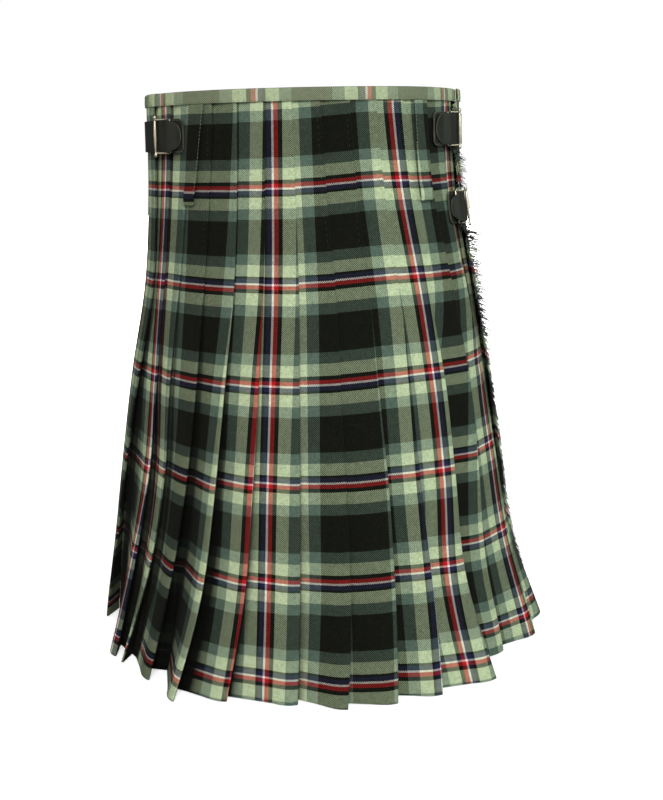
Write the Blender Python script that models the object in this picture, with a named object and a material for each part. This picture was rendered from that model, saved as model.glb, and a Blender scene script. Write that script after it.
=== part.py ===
"""A knife-pleated kilt, fastened and filled out with no wearer.

Metres, +Z up. The origin is the centre of the waist opening, level with its top edge. The pleated back
faces -Y, the flat aprons face +Y, and +X is the wearer's right.

Angles are in degrees round the kilt, 0 at the centre back and growing towards +X, so 90 is the wearer's
right, 180 the centre front and -90 the wearer's left. "Out" is a distance outward from the kilt's form,
the smooth shape that the folds of the pleats lie on.
"""

import math

import bmesh
import bpy
from mathutils import Vector

# ---------------------------------------------------------------- driving dimensions
LENGTH = 0.606  # top edge to hem
FELL = 0.190  # depth of the stitched part of the pleats
CLOTH = 0.0012  # thickness of the worsted cloth
SEAM = 0.0003  # gap between pieces that are sewn together
PLEAT_LAYER = 0.0017  # from one layer of a pleat to the next, between middles
UNDERFOLD = 0.026  # how far a pleat runs back under its own face
UNDERFOLD_SHARE = 0.80  # the most of a face's width that it runs back
BAND_HEIGHT = 0.013  # waistband, top to lower edge
STRAP_HEIGHT = 0.032  # width of the leather straps
STRAP_LEATHER = 0.0016
TAB_LEATHER = 0.0018
FRINGE_LENGTH = 0.015
FRINGE_STRANDS = 84

# How far out each layer's middle lies.
UNDER_APRON = 0.0
OVER_APRON = 0.0052
BAND_OUTSIDE_PLEATS = 0.0018
BAND_INSIDE_PLEATS = -0.0088
BAND_INSIDE_UNDER = -0.0016
BAND_INSIDE_OVER = OVER_APRON - CLOTH - SEAM
BAND_OUTSIDE_OVER = OVER_APRON + CLOTH + SEAM

# Half widths and half depths of the form, a row for each height.
# (height, to the wearer's left, to the wearer's right, to the back, to the front)
FORM = (
    (0.000, 0.1660, 0.1685, 0.128, 0.122),
    (-0.100, 0.1690, 0.1725, 0.128, 0.127),
    (-0.200, 0.1780, 0.1875, 0.140, 0.136),
    (-0.300, 0.1980, 0.1985, 0.163, 0.147),
    (-0.400, 0.2145, 0.2140, 0.184, 0.158),
    (-0.500, 0.2295, 0.2310, 0.206, 0.169),
    (-LENGTH, 0.2475, 0.2650, 0.232, 0.182),
)
# How far the two straps on the wearer's right draw the cloth in.
DRAWN_IN = 0.0065

# Heights of the columns of angles in the tables below.
FOLD_HEIGHTS = (-0.020, -0.200, -0.300, -0.400, -0.500, -LENGTH)

# The folded edge of each pleat, from the wearer's left to the wearer's right: its angle at the waist, hip,
# seat, thigh, knee and hem, how far out it swings at the hem, and how far it stands off the next face there.
PLEATS = (
    (-57.0, -61.5, -57.4, -55.8, -58.5, -61.5, 0.009, 0.018),
    (-45.5, -50.8, -49.5, -47.7, -50.6, -57.2, 0.008, 0.018),
    (-34.5, -38.1, -37.5, -38.4, -41.0, -44.5, 0.010, 0.028),
    (-24.4, -26.0, -27.0, -28.0, -29.2, -32.7, 0.029, 0.024),
    (-14.3, -15.4, -16.0, -17.0, -18.3, -21.6, 0.008, 0.011),
    (-4.8, -3.6, -3.7, -3.8, -4.1, -4.8, 0.002, 0.012),
    (4.8, 8.0, 8.5, 8.8, 8.6, 6.1, 0.014, 0.013),
    (14.9, 18.8, 20.2, 20.9, 20.1, 17.0, 0.013, 0.018),
    (24.6, 29.4, 31.2, 31.1, 30.8, 27.5, 0.014, 0.014),
    (35.1, 41.4, 45.3, 44.2, 41.9, 42.1, 0.018, 0.044),
    (45.6, 56.0, 60.1, 58.5, 56.4, 55.6, -0.014, 0.012),
    (59.5, 70.0, 73.3, 77.0, 75.5, 70.0, 0.003, 0.017),
    (71.5, 80.5, 84.5, 90.0, 90.0, 85.5, 0.006, 0.015),
    (82.0, 91.5, 98.0, 104.0, 103.0, 99.0, 0.003, 0.012),
)
# The over apron's fold over the first pleat: its angles, and how far above the pleat it stands at the hem.
APRON_FOLD = (-68.0, -67.5, -69.5, -73.5, -78.0, -88.0, 0.020)
# The seam between the last pleat and the under apron.
RIGHT_SEAM = (92.0, 103.0, 110.0, 116.0, 115.0, 111.0)
# The over apron's fringed edge, and the under apron's free edge inside it.
FRINGED_EDGE = (76.0, 79.0, 86.0, 93.0, 98.0, 103.0)
UNDER_EDGE = (258.0, 256.0, 255.0, 254.0, 252.0, 250.0)
APRON_RETURN = 0.026  # the over apron's turned-back part, under its fold

# Heights of the rows of points in the cloth, from the top edge to the hem.
SLIT_TOP = -0.025
SLIT_BOTTOM = -0.062
CLOTH_ROWS = (
    (-0.002, SLIT_TOP, SLIT_BOTTOM) + (-0.12, -0.18, -0.24, -0.31, -0.38, -0.45, -0.52, -0.57) + (-LENGTH,)
)
OVER_APRON_STEPS = 40
UNDER_APRON_STEPS = 30
BAND_STEP = 5.0  # degrees between the waistband's sections over the pleats

# The slit that the under apron's strap passes through, in degrees in front of the over apron's fold.
SLIT_BACK = 14.5
SLIT_FRONT = 22.5

# (name, outer bar's angle, angle of the strap's rounded end, middle height, lift over the fringe)
FASTENINGS = (
    ("left", -61.0, -48.0, -0.0435, 0.0),
    ("right_waist", 69.5, 52.6, -0.0415, 0.0),
    ("right_hip", 75.0, 62.5, -0.1235, 0.0006),
)
# (name, angle at the top, angle at the foot): the belt loops' middles
BELT_LOOPS = (("belt_loop_left", -40.5, -44.2), ("belt_loop_right", 44.0, 45.8))
LOOP_WIDTH = 0.018
LOOP_FOOT = -0.113
# (share of the loop's length from the top, how far off the cloth it stands there)
LOOP_PROFILE = (
    (0.00, 0.0003),
    (0.30, 0.0009),
    (0.60, 0.0013),
    (0.86, 0.0011),
    (0.93, 0.0019),
    (1.00, 0.0009),
)

# ---------------------------------------------------------------- helpers


def clear_scene():
    for obj in list(bpy.data.objects):
        bpy.data.objects.remove(obj, do_unlink=True)


def make_material(name, colour, roughness, metallic=0.0):
    material = bpy.data.materials.new(name)
    material.use_nodes = True
    shader = material.node_tree.nodes["Principled BSDF"]
    shader.inputs["Base Color"].default_value = (*colour, 1.0)
    shader.inputs["Roughness"].default_value = roughness
    shader.inputs["Metallic"].default_value = metallic
    return material


def smooth(x, knots, values):
    """The value at x on a smooth curve through the values, for knots that only grow or only shrink."""
    last = len(knots) - 1
    index = 0
    while index < last - 1 and (x - knots[index + 1]) * (knots[last] - knots[0]) > 0:
        index += 1

    def slope(i):
        low, high = max(i - 1, 0), min(i + 1, last)
        return (values[high] - values[low]) / (knots[high] - knots[low])

    width = knots[index + 1] - knots[index]
    t = min(max((x - knots[index]) / width, 0.0), 1.0)
    start, end = values[index], values[index + 1]
    return (
        (2 * t**3 - 3 * t**2 + 1) * start
        + (t**3 - 2 * t**2 + t) * width * slope(index)
        + (3 * t**2 - 2 * t**3) * end
        + (t**3 - t**2) * width * slope(index + 1)
    )


def half_sizes(angle, height):
    """Half width and half depth of the form on the side where the angle lies."""
    heights = [row[0] for row in FORM]
    turn = math.radians(angle)
    side = 2 if math.sin(turn) >= 0 else 1
    depth = 3 if math.cos(turn) >= 0 else 4
    return (
        smooth(height, heights, [row[side] for row in FORM]),
        smooth(height, heights, [row[depth] for row in FORM]),
    )


def eased(x, start, end):
    """0 before start, 1 after end, and a smooth step between."""
    t = min(max((x - start) / (end - start), 0.0), 1.0)
    return t * t * (3 - 2 * t)


def drawn_in(angle, height):
    """How far the two straps on the wearer's right draw the cloth in."""
    turn = angle % 360.0
    across = eased(turn, 35.0, 68.0) * (1.0 - eased(turn, 108.0, 150.0))
    down = min(max((height + 0.31) / 0.13, 0.0), 1.0)
    return DRAWN_IN * across * down


def on_form(angle, height, out=0.0):
    """The point at this angle and height, moved straight out from the form."""
    width, depth = half_sizes(angle, height)
    turn = math.radians(angle)
    outward = Vector((depth * math.sin(turn), -width * math.cos(turn), 0)).normalized()
    on_oval = Vector((width * math.sin(turn), -depth * math.cos(turn), height))
    return on_oval + outward * (out - drawn_in(angle, height))


def degrees_along(length, angle, height):
    """The turn in degrees that covers this length of the form near the angle."""
    width, depth = half_sizes(angle, height)
    turn = math.radians(angle)
    return math.degrees(length / math.hypot(width * math.cos(turn), depth * math.sin(turn)))


def angle_at(row, height):
    return smooth(height, FOLD_HEIGHTS, row[: len(FOLD_HEIGHTS)])


def below_fell(height):
    """0 while the pleats are stitched down, growing evenly to 1 at the hem."""
    return max(0.0, -height - FELL) / (LENGTH - FELL)


def opening_share(height):
    """Share of the hem's opening between the layers of a pleat."""
    return below_fell(height) ** 1.15


def fold_out(row, height):
    """How far out a pleat's fold lies. Folds swing out or in mostly near the hem."""
    return row[-2] * below_fell(height) ** 3


def inward_of(direction, outward):
    """The plan direction square to this one that points into the kilt."""
    square = Vector((direction.y, -direction.x, 0)).normalized()
    return -square if square.dot(outward) > 0 else square


def outward_at(angle, height):
    return (on_form(angle, height, 0.01) - on_form(angle, height)).normalized()


def offset_row(points, distance):
    """The row moved sideways in plan, to its left, with mitred corners."""
    moved = []
    for index, point in enumerate(points):
        before = points[max(index - 1, 0)]
        after = points[min(index + 1, len(points) - 1)]
        sides = []
        for start, end in ((before, point), (point, after)):
            step = Vector((end.x - start.x, end.y - start.y, 0))
            if step.length > 1e-9:
                step.normalize()
                sides.append(Vector((-step.y, step.x, 0)))
        total = sides[0] + sides[-1]
        moved.append(point + total * distance / (1 + sides[0].dot(sides[-1])))
    return moved


def make_object(name, mesh_maker, material):
    mesh = bpy.data.meshes.new(name)
    bm = bmesh.new()
    mesh_maker(bm)
    bmesh.ops.recalc_face_normals(bm, faces=bm.faces)
    if bm.calc_volume(signed=True) < 0:
        bmesh.ops.reverse_faces(bm, faces=bm.faces)
    bm.to_mesh(mesh)
    bm.free()
    mesh.materials.append(material)
    mesh.shade_smooth()
    mesh.set_sharp_from_angle(angle=math.radians(40))
    obj = bpy.data.objects.new(name, mesh)
    bpy.context.scene.collection.objects.link(obj)
    return obj


def make_wall(name, rows, thickness, material, holes=()):
    """A closed wall through rows of middle points, all of one length. Holes are cells left out.

    Both skins of a cell are split along the same diagonal, so that they can't cross where it is twisted.
    """
    left = [offset_row(row, thickness / 2) for row in rows]
    right = [offset_row(row, -thickness / 2) for row in rows]

    def build(bm):
        skins = [[[bm.verts.new(point) for point in row] for row in skin] for skin in (left, right)]
        cells = {(r, c) for r in range(len(rows) - 1) for c in range(len(rows[0]) - 1)} - set(holes)
        for r, c in sorted(cells):
            around = ((r, c), (r, c + 1), (r + 1, c + 1), (r + 1, c))
            falling = (rows[r][c] - rows[r + 1][c + 1]).length
            rising = (rows[r][c + 1] - rows[r + 1][c]).length
            halves = ((0, 1, 2), (0, 2, 3)) if falling < rising else ((0, 1, 3), (1, 2, 3))
            for skin, turned in zip(skins, (False, True)):
                for half in halves:
                    corners = [skin[around[k][0]][around[k][1]] for k in half]
                    bm.faces.new(corners[::-1] if turned else corners)
            sides = (
                ((r - 1, c), (r, c), (r, c + 1)),
                ((r + 1, c), (r + 1, c + 1), (r + 1, c)),
                ((r, c - 1), (r + 1, c), (r, c)),
                ((r, c + 1), (r, c + 1), (r + 1, c + 1)),
            )
            for neighbour, start, end in sides:
                if neighbour not in cells:
                    bm.faces.new(
                        (
                            skins[0][end[0]][end[1]],
                            skins[0][start[0]][start[1]],
                            skins[1][start[0]][start[1]],
                            skins[1][end[0]][end[1]],
                        )
                    )
        loose = [vert for vert in bm.verts if not vert.link_faces]
        bmesh.ops.delete(bm, geom=loose, context="VERTS")

    return make_object(name, build, material)


def make_sweep(name, sections, material, closed=False):
    """A closed body through sections of equal length: a ring when closed, or else with flat ends."""

    def build(bm):
        rings = [[bm.verts.new(point) for point in section] for section in sections]
        pairs = list(zip(rings, rings[1:]))
        if closed:
            pairs.append((rings[-1], rings[0]))
        for first, second in pairs:
            for index in range(len(first)):
                following = (index + 1) % len(first)
                bm.faces.new((first[index], first[following], second[following], second[index]))
        if not closed:
            bm.faces.new(rings[0][::-1])
            bm.faces.new(rings[-1])

    return make_object(name, build, material)


# ---------------------------------------------------------------- cloth


def apron_fold_lift(height):
    """How far the first pleat lies below the over apron's fold."""
    stitched = OVER_APRON - BAND_OUTSIDE_PLEATS + CLOTH + SEAM
    return stitched + (APRON_FOLD[-1] - stitched) * opening_share(height)


def apron_return_end(height):
    """(angle, out) of the end of the over apron's turned-back part."""
    fold = angle_at(APRON_FOLD, height)
    out = OVER_APRON - PLEAT_LAYER - 0.55 * (apron_fold_lift(height) - apron_fold_lift(0.0))
    return fold - degrees_along(APRON_RETURN, fold, height), out


def pleat_lift(row, height):
    """How far a pleat's fold stands above the face next to it."""
    stitched = 2 * PLEAT_LAYER
    return stitched + (row[-1] - stitched) * opening_share(height)


def pleat_row(height):
    """The middle line of the pleated cloth at one height, from the wearer's left to the right."""
    share = opening_share(height)
    open_gap = PLEAT_LAYER * (1 + 1.5 * share)
    start_angle, return_out = apron_return_end(height)
    points = [on_form(start_angle, height, return_out - CLOTH - SEAM)]
    before = on_form(angle_at(APRON_FOLD, height), height, OVER_APRON - apron_fold_lift(height))
    for row in PLEATS:
        angle = angle_at(row, height)
        fold = on_form(angle, height, fold_out(row, height))
        face = fold - before
        along = face.normalized()
        inward = inward_of(along, outward_at(angle, height))
        under = min(UNDERFOLD, UNDERFOLD_SHARE * face.length)
        roll = face.length * (0.016 + 0.035 * share)
        points.append(before)
        points.append(fold - along * under - inward * roll * 0.5)
        points.append(fold - along * under * 0.5 - inward * roll)
        points.append(fold)
        turned = fold + inward * PLEAT_LAYER
        points.append(turned)
        inner = fold - along * under + inward * open_gap
        points.append(inner)
        back = inward_of(inner - turned, outward_at(angle, height))
        points.append(inner + back * PLEAT_LAYER)
        before = on_form(angle, height, fold_out(row, height) - pleat_lift(row, height))
    seam = angle_at(RIGHT_SEAM, height)
    points.append(before)
    for length in (0.008, SEAM):
        points.append(on_form(seam - degrees_along(length, seam, height), height, UNDER_APRON))
    return points


def over_apron_angles(height):
    """Angles of the over apron's columns from its fold, round the front, to its fringed edge."""
    fold = angle_at(APRON_FOLD, height)
    edge = angle_at(FRINGED_EDGE, height) - 360
    front = fold - SLIT_FRONT
    angles = [fold, fold - SLIT_BACK / 2, fold - SLIT_BACK]
    step_size = (edge - front) / OVER_APRON_STEPS
    return angles + [front + step_size * step for step in range(OVER_APRON_STEPS + 1)]


def over_apron_row(height):
    """The over apron's middle line: its turned-back part, its fold, then round the front to the fringe."""
    fold = angle_at(APRON_FOLD, height)
    return_angle, return_out = apron_return_end(height)
    points = [
        on_form(return_angle, height, return_out),
        on_form(fold, height, OVER_APRON - PLEAT_LAYER),
    ]
    return points + [on_form(angle, height, OVER_APRON) for angle in over_apron_angles(height)]


def under_apron_row(height):
    seam = angle_at(RIGHT_SEAM, height)
    edge = angle_at(UNDER_EDGE, height)
    return [
        on_form(seam + (edge - seam) * step / UNDER_APRON_STEPS, height, UNDER_APRON)
        for step in range(UNDER_APRON_STEPS + 1)
    ]


def make_over_apron(material):
    """The over apron, with the slit for the under apron's strap cut in it."""
    rows = [over_apron_row(height) for height in CLOTH_ROWS]
    # The slit is the fifth column of cells: after the turned-back part, the fold and two more columns.
    slit = (CLOTH_ROWS.index(SLIT_TOP), 4)
    return make_wall("over_apron", rows, CLOTH, material, [slit])


def make_pleated_back(material):
    return make_wall("pleated_back", [pleat_row(height) for height in CLOTH_ROWS], CLOTH, material)


def make_under_apron(material):
    return make_wall("under_apron", [under_apron_row(height) for height in CLOTH_ROWS], CLOTH, material)


def band_stops():
    """(angle, out of the inner leg, out of the outer leg) along the waistband, from the under apron."""
    seam, edge = RIGHT_SEAM[0], UNDER_EDGE[0]
    stops = []
    for step in range(UNDER_APRON_STEPS + 1):
        angle = edge + (seam - edge) * step / UNDER_APRON_STEPS
        near_seam = max(0.0, 1 - (angle - seam) / BAND_STEP)
        inside = BAND_INSIDE_UNDER + (BAND_INSIDE_PLEATS - BAND_INSIDE_UNDER) * near_seam
        stops.append((angle, inside, BAND_OUTSIDE_PLEATS))
    fold = APRON_FOLD[0]
    count = round((seam - fold) / BAND_STEP)
    for step in range(1, count - 1):
        angle = seam + (fold - seam) * step / count
        stops.append((angle, BAND_INSIDE_PLEATS, BAND_OUTSIDE_PLEATS))
    stops.append((fold + 4.0, BAND_INSIDE_PLEATS, BAND_OUTSIDE_PLEATS))
    stops.append((fold + 1.0, BAND_INSIDE_PLEATS, BAND_OUTSIDE_OVER))
    return_angle = apron_return_end(0.0)[0]
    for angle in over_apron_angles(0.0):
        past = min(max((return_angle - 1.5 - angle) / BAND_STEP, 0.0), 1.0)
        inside = BAND_INSIDE_PLEATS + (BAND_INSIDE_OVER - BAND_INSIDE_PLEATS) * past
        stops.append((angle, inside, BAND_OUTSIDE_OVER))
    return stops


def make_waistband(material):
    """One strip folded over the top edge, from the under apron's end right round to the fringed edge."""
    half = CLOTH / 2
    top = 0.0
    web = top - CLOTH
    foot = -BAND_HEIGHT
    sections = []
    for angle, inside, outside in band_stops():
        outline = (
            (inside - half, foot),
            (inside - half, top),
            (outside + half, top),
            (outside + half, foot),
            (outside - half, foot),
            (outside - half, web),
            (inside + half, web),
            (inside + half, foot),
        )
        sections.append([on_form(angle, height, out) for out, height in outline])
    return make_sweep("waistband", sections, material)


def make_fringe(material):
    """A narrow strip along the over apron's free edge, with strands grown from its back edge."""
    top = -BAND_HEIGHT - 0.001
    bottom = -LENGTH + 0.006
    pitch = (top - bottom) / FRINGE_STRANDS
    strand = 0.0022
    half = CLOTH / 2
    strip_width = 0.003

    def at_row(height, along, out):
        edge = angle_at(FRINGED_EDGE, height)
        return on_form(edge - degrees_along(SEAM + along, edge, height), height, OVER_APRON + out)

    def corner(height, along, out):
        """As straight between the cloth's rows as the edge that the strip lies along."""
        index = next(i for i in range(1, len(CLOTH_ROWS)) if height >= CLOTH_ROWS[i])
        upper, lower = CLOTH_ROWS[index - 1], CLOTH_ROWS[index]
        share = (upper - height) / (upper - lower)
        return at_row(upper, along, out).lerp(at_row(lower, along, out), share)

    def build(bm):
        heights = []
        for index in range(FRINGE_STRANDS):
            heights += [top - pitch * index, top - pitch * index - strand]
        rings = [
            [
                bm.verts.new(corner(height, 0.0, half)),
                bm.verts.new(corner(height, strip_width, half)),
                bm.verts.new(corner(height, strip_width, -half)),
                bm.verts.new(corner(height, 0.0, -half)),
            ]
            for height in heights
        ]
        bm.faces.new(rings[0][::-1])
        bm.faces.new(rings[-1])
        for index, (upper, lower) in enumerate(zip(rings, rings[1:])):
            for side in range(4):
                following = (side + 1) % 4
                if side == 1 and index % 2 == 0:
                    continue
                bm.faces.new((upper[side], upper[following], lower[following], lower[side]))
            if index % 2:
                continue
            number = index // 2
            root = [upper[1], upper[2], lower[2], lower[1]]
            height = heights[index] - strand / 2
            droop = 0.0012 + 0.0012 * math.sin(number * 1.7)
            sway = 0.0003 * math.sin(number * 2.3)
            length = FRINGE_LENGTH * (0.88 + 0.12 * math.sin(number * 2.9))
            previous = root
            for share, thick in ((0.5, 0.8), (1.0, 0.35)):
                reach = strip_width + (length - strip_width) * share
                level = height - droop * share * share
                tall = strand / 2 * thick
                deep = half * thick
                ring = [
                    bm.verts.new(corner(level + tall, reach, sway * share + deep)),
                    bm.verts.new(corner(level + tall, reach, sway * share - deep)),
                    bm.verts.new(corner(level - tall, reach, sway * share - deep)),
                    bm.verts.new(corner(level - tall, reach, sway * share + deep)),
                ]
                for side in range(4):
                    following = (side + 1) % 4
                    bm.faces.new((previous[side], previous[following], ring[following], ring[side]))
                previous = ring
            bm.faces.new(previous)

    return make_object("fringe", build, material)


def make_belt_loop(name, top_angle, foot_angle, material):
    """A flat strip from under the waistband to a small turned-in foot."""
    rows = []
    for share, off_cloth in LOOP_PROFILE:
        height = -BAND_HEIGHT - SEAM + (LOOP_FOOT + BAND_HEIGHT) * share
        middle = top_angle + (foot_angle - top_angle) * share
        reach = degrees_along(LOOP_WIDTH / 2, middle, height)
        out = CLOTH + SEAM + off_cloth
        rows.append([on_form(middle + reach * side, height, out) for side in (-1, -0.33, 0.33, 1)])
    return make_wall(name, rows, CLOTH, material)


# ---------------------------------------------------------------- leather and metal

BAR_RADIUS = 0.0013
BUCKLE_WIDTH = 0.015  # from bar to bar, between middles
BUCKLE_HEIGHT = 0.041  # from side to side, between middles
STRAP_FIT = 0.0009
TAB_BEYOND_STRAP = 0.0015  # how far the tab shows past the strap's rounded end
TAB_CLIMB = 0.010  # length over which a tab climbs onto the fringe
STRAP_ON_APRON = 0.056  # length of a strap in front of its buckle's outer bar


def fastening_frame(bar_angle, tip_angle, lift):
    """Where a fastening's layers lie: its direction round the kilt, and how far out each one is."""
    toward_back = -1.0 if bar_angle > 0 else 1.0
    tab_out = CLOTH / 2 + SEAM + TAB_LEATHER / 2 + 0.0003
    loop_radius = BAR_RADIUS + SEAM + TAB_LEATHER / 2
    rear_out = tab_out + lift + loop_radius
    over_loop = rear_out + loop_radius + TAB_LEATHER / 2 + STRAP_FIT + STRAP_LEATHER / 2
    return {
        "toward_back": toward_back,
        "tab_out": tab_out,
        "loop_radius": loop_radius,
        "rear_out": rear_out,
        "over_loop": over_loop,
        "on_tab": tab_out + TAB_LEATHER / 2 + STRAP_FIT + STRAP_LEATHER / 2,
        "on_apron": OVER_APRON + CLOTH / 2 + STRAP_FIT + STRAP_LEATHER / 2,
        "tip": abs(bar_angle - tip_angle),
    }


def along_form(bar_angle, toward_back, length, height, rise, out):
    """A point this length from the buckle's outer bar towards the back, and this far above its middle."""
    angle = bar_angle + toward_back * degrees_along(length, bar_angle, height)
    return on_form(angle, height + rise, out)


def leather_rows(route, bar_angle, toward_back, height, reach, row_count):
    """Rows of points of a leather strip: route gives (length, out, share of its full height)."""
    rows = []
    for row in range(row_count):
        side = 1 - 2 * row / (row_count - 1)
        rows.append(
            [
                along_form(bar_angle, toward_back, length, height, side * reach * share, out)
                for length, out, share in route
            ]
        )
    return rows


def rounded_share(distance, radius):
    """Share of the full height of a round end, at this distance from its tip."""
    inside = min(max(distance, 0.0), radius)
    return max(math.sqrt(max(0.0, 1 - (1 - inside / radius) ** 2)), 0.22)


def make_tab(name, bar_angle, tip_angle, height, lift, material):
    """The leather tab sewn to the pleats, turned round the buckle's inner bar."""
    frame = fastening_frame(bar_angle, tip_angle, lift)
    strap_tip = frame["tip"] / degrees_along(1.0, bar_angle, height)
    back_end = strap_tip + TAB_BEYOND_STRAP
    loop = frame["loop_radius"]
    start_out = frame["tab_out"]
    flat_out = frame["tab_out"] + lift
    route = [(back_end, start_out, 1.0)]
    flat_stretch = spread(back_end - TAB_CLIMB, BUCKLE_WIDTH + loop, 3)
    route += [(length, flat_out, 1.0) for length in flat_stretch]
    for step in range(8):
        turn = math.radians(230 * step / 7)
        route.append((BUCKLE_WIDTH - loop * math.sin(turn), frame["rear_out"] - loop * math.cos(turn), 1.0))
    rows = leather_rows(route, bar_angle, frame["toward_back"], height, STRAP_HEIGHT / 2 + 0.0012, 3)
    return make_wall(name, rows, TAB_LEATHER, material)


def strap_route(bar_angle, tip_angle, height, lift):
    """The strap's rounded end, its way over the inner bar and under the outer one."""
    frame = fastening_frame(bar_angle, tip_angle, lift)
    strap_tip = frame["tip"] / degrees_along(1.0, bar_angle, height)
    radius = STRAP_HEIGHT / 2
    over_bar = BUCKLE_WIDTH
    settle = over_bar + 0.011
    route = []
    for share in (0.0, 0.12, 0.3, 0.55, 1.0):
        distance = min(radius, strap_tip - settle) * share
        low = frame["on_tab"] + lift * min(1.0, (distance + TAB_BEYOND_STRAP) / TAB_CLIMB + 0.12)
        route.append((strap_tip - distance, low, rounded_share(distance, radius)))
    for length, lower in ((over_bar + 0.0055, 0.0012), (over_bar, 0.0)):
        route.append((length, frame["over_loop"] - lower, rounded_share(strap_tip - length, radius)))
    route.append((over_bar - 0.0055, frame["over_loop"] - 0.0008, 1.0))
    return frame, route


def outer_bar_out(frame):
    """How far out the outer bar lies, over the strap."""
    strap_there = frame["on_apron"] + 0.45 * (frame["over_loop"] - frame["on_apron"])
    return strap_there, strap_there + STRAP_LEATHER / 2 + STRAP_FIT + BAR_RADIUS + 0.0004


def spread(first, last, count):
    return [first + (last - first) * step / (count - 1) for step in range(count)]


def make_strap(name, bar_angle, tip_angle, height, lift, material):
    """A strap from its apron through the buckle. The left one comes from the under apron through the slit."""
    frame, route = strap_route(bar_angle, tip_angle, height, lift)
    under_bar = outer_bar_out(frame)[0]
    route.append((0.0, under_bar, 1.0))
    rest = frame["on_apron"]
    if name == "strap_left":
        fold = angle_at(APRON_FOLD, height)
        per_metre = degrees_along(1.0, bar_angle, height)
        slit_back = (bar_angle - fold + SLIT_BACK) / per_metre + 0.002
        slit_front = (bar_angle - fold + SLIT_FRONT) / per_metre - 0.002
        inside = UNDER_APRON + CLOTH / 2 + STRAP_FIT + STRAP_LEATHER / 2
        route += [(-length, rest, 1.0) for length in spread(0.008, slit_back, 4)]
        route += [(-length, inside, 1.0) for length in spread(slit_front, slit_front + 0.045, 5)]
    else:
        route += [(-length, rest, 1.0) for length in spread(0.010, STRAP_ON_APRON, 6)]
    rows = leather_rows(route, bar_angle, frame["toward_back"], height, STRAP_HEIGHT / 2, 5)
    return make_wall(name, rows, STRAP_LEATHER, material)


def make_buckle(name, bar_angle, tip_angle, height, lift, material):
    """A plain frame: an inner bar in the tab's turn, a swelling outer bar over the strap, and two sides."""
    frame = fastening_frame(bar_angle, tip_angle, lift)
    bar_out = outer_bar_out(frame)[1]
    half = BUCKLE_HEIGHT / 2
    # (length towards the back, rise from the middle height, out, radius)
    stops = [
        (0.0, -half + 0.003, bar_out, 0.0013),
        (0.0, -half / 2, bar_out, 0.0016),
        (0.0, 0.0, bar_out, 0.0018),
        (0.0, half / 2, bar_out, 0.0016),
        (0.0, half - 0.003, bar_out, 0.0013),
        (0.0012, half, bar_out, 0.0014),
        (BUCKLE_WIDTH * 0.5, half, (bar_out + frame["rear_out"]) / 2, 0.0013),
        (BUCKLE_WIDTH - 0.0015, half, frame["rear_out"], 0.0013),
        (BUCKLE_WIDTH, half - 0.0018, frame["rear_out"], 0.0012),
        (BUCKLE_WIDTH, -half + 0.0018, frame["rear_out"], 0.0012),
        (BUCKLE_WIDTH - 0.0015, -half, frame["rear_out"], 0.0013),
        (BUCKLE_WIDTH * 0.5, -half, (bar_out + frame["rear_out"]) / 2, 0.0013),
        (0.0012, -half, bar_out, 0.0014),
    ]
    points = [
        along_form(bar_angle, frame["toward_back"], length, height, rise, out)
        for length, rise, out, _ in stops
    ]
    face = outward_at(bar_angle + frame["toward_back"] * 3, height)
    sections = []
    for index, point in enumerate(points):
        along = (points[(index + 1) % len(points)] - points[index - 1]).normalized()
        across = along.cross(face).normalized()
        normal = across.cross(along)
        radius = stops[index][3]
        sections.append(
            [
                point + (across * math.cos(turn) + normal * math.sin(turn)) * radius
                for turn in (math.radians(45 * side) for side in range(8))
            ]
        )
    return make_sweep(name, sections, material, closed=True)


def main():
    clear_scene()
    tartan = make_material("tartan_wool", (0.20, 0.24, 0.17), 0.92)
    band_tartan = make_material("waistband_tartan", (0.28, 0.30, 0.20), 0.92)
    thread = make_material("fringe_threads", (0.12, 0.16, 0.13), 0.95)
    leather = make_material("black_leather", (0.035, 0.035, 0.025), 0.45)
    metal = make_material("nickel_plate", (0.80, 0.74, 0.60), 0.25, 1.0)
    make_pleated_back(tartan)
    make_over_apron(tartan)
    make_under_apron(tartan)
    make_waistband(band_tartan)
    make_fringe(thread)
    for name, top_angle, foot_angle in BELT_LOOPS:
        make_belt_loop(name, top_angle, foot_angle, tartan)
    for name, bar_angle, tip_angle, height, lift in FASTENINGS:
        make_tab("buckle_tab_" + name, bar_angle, tip_angle, height, lift, leather)
        make_buckle("buckle_" + name, bar_angle, tip_angle, height, lift, metal)
        make_strap("strap_" + name, bar_angle, tip_angle, height, lift, leather)


main()
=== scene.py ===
# %% [markdown]
# # A knife-pleated kilt, seen from behind
# A kilt is one long piece of woollen tartan. Its middle is pressed into overlapping pleats and stitched flat
# from the waist to the hips, and its two plain ends, the aprons, wrap over each other at the front. Three
# leather straps and buckles hold it shut. This lesson dresses a frame of plain solids: the cloth is remade
# as thin sheets that carry their own thread counts, and the leather and metal are modelled with operators.

# %% Load the frame
import math

import bpy
import numpy as np
from mathutils import Matrix, Vector


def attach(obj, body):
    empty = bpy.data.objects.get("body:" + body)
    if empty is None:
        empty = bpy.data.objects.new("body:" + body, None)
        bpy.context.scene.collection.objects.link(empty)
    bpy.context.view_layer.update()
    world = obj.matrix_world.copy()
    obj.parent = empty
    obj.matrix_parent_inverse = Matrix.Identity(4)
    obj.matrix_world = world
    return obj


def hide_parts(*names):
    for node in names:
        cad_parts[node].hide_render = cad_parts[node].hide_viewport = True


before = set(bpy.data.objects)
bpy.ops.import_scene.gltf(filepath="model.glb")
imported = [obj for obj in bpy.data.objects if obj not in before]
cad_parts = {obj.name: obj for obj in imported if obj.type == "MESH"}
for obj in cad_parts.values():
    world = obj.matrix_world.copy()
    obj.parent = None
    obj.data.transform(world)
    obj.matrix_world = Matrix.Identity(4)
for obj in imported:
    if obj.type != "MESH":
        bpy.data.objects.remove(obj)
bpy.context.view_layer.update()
print("solids in the frame:", len(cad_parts))

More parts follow.
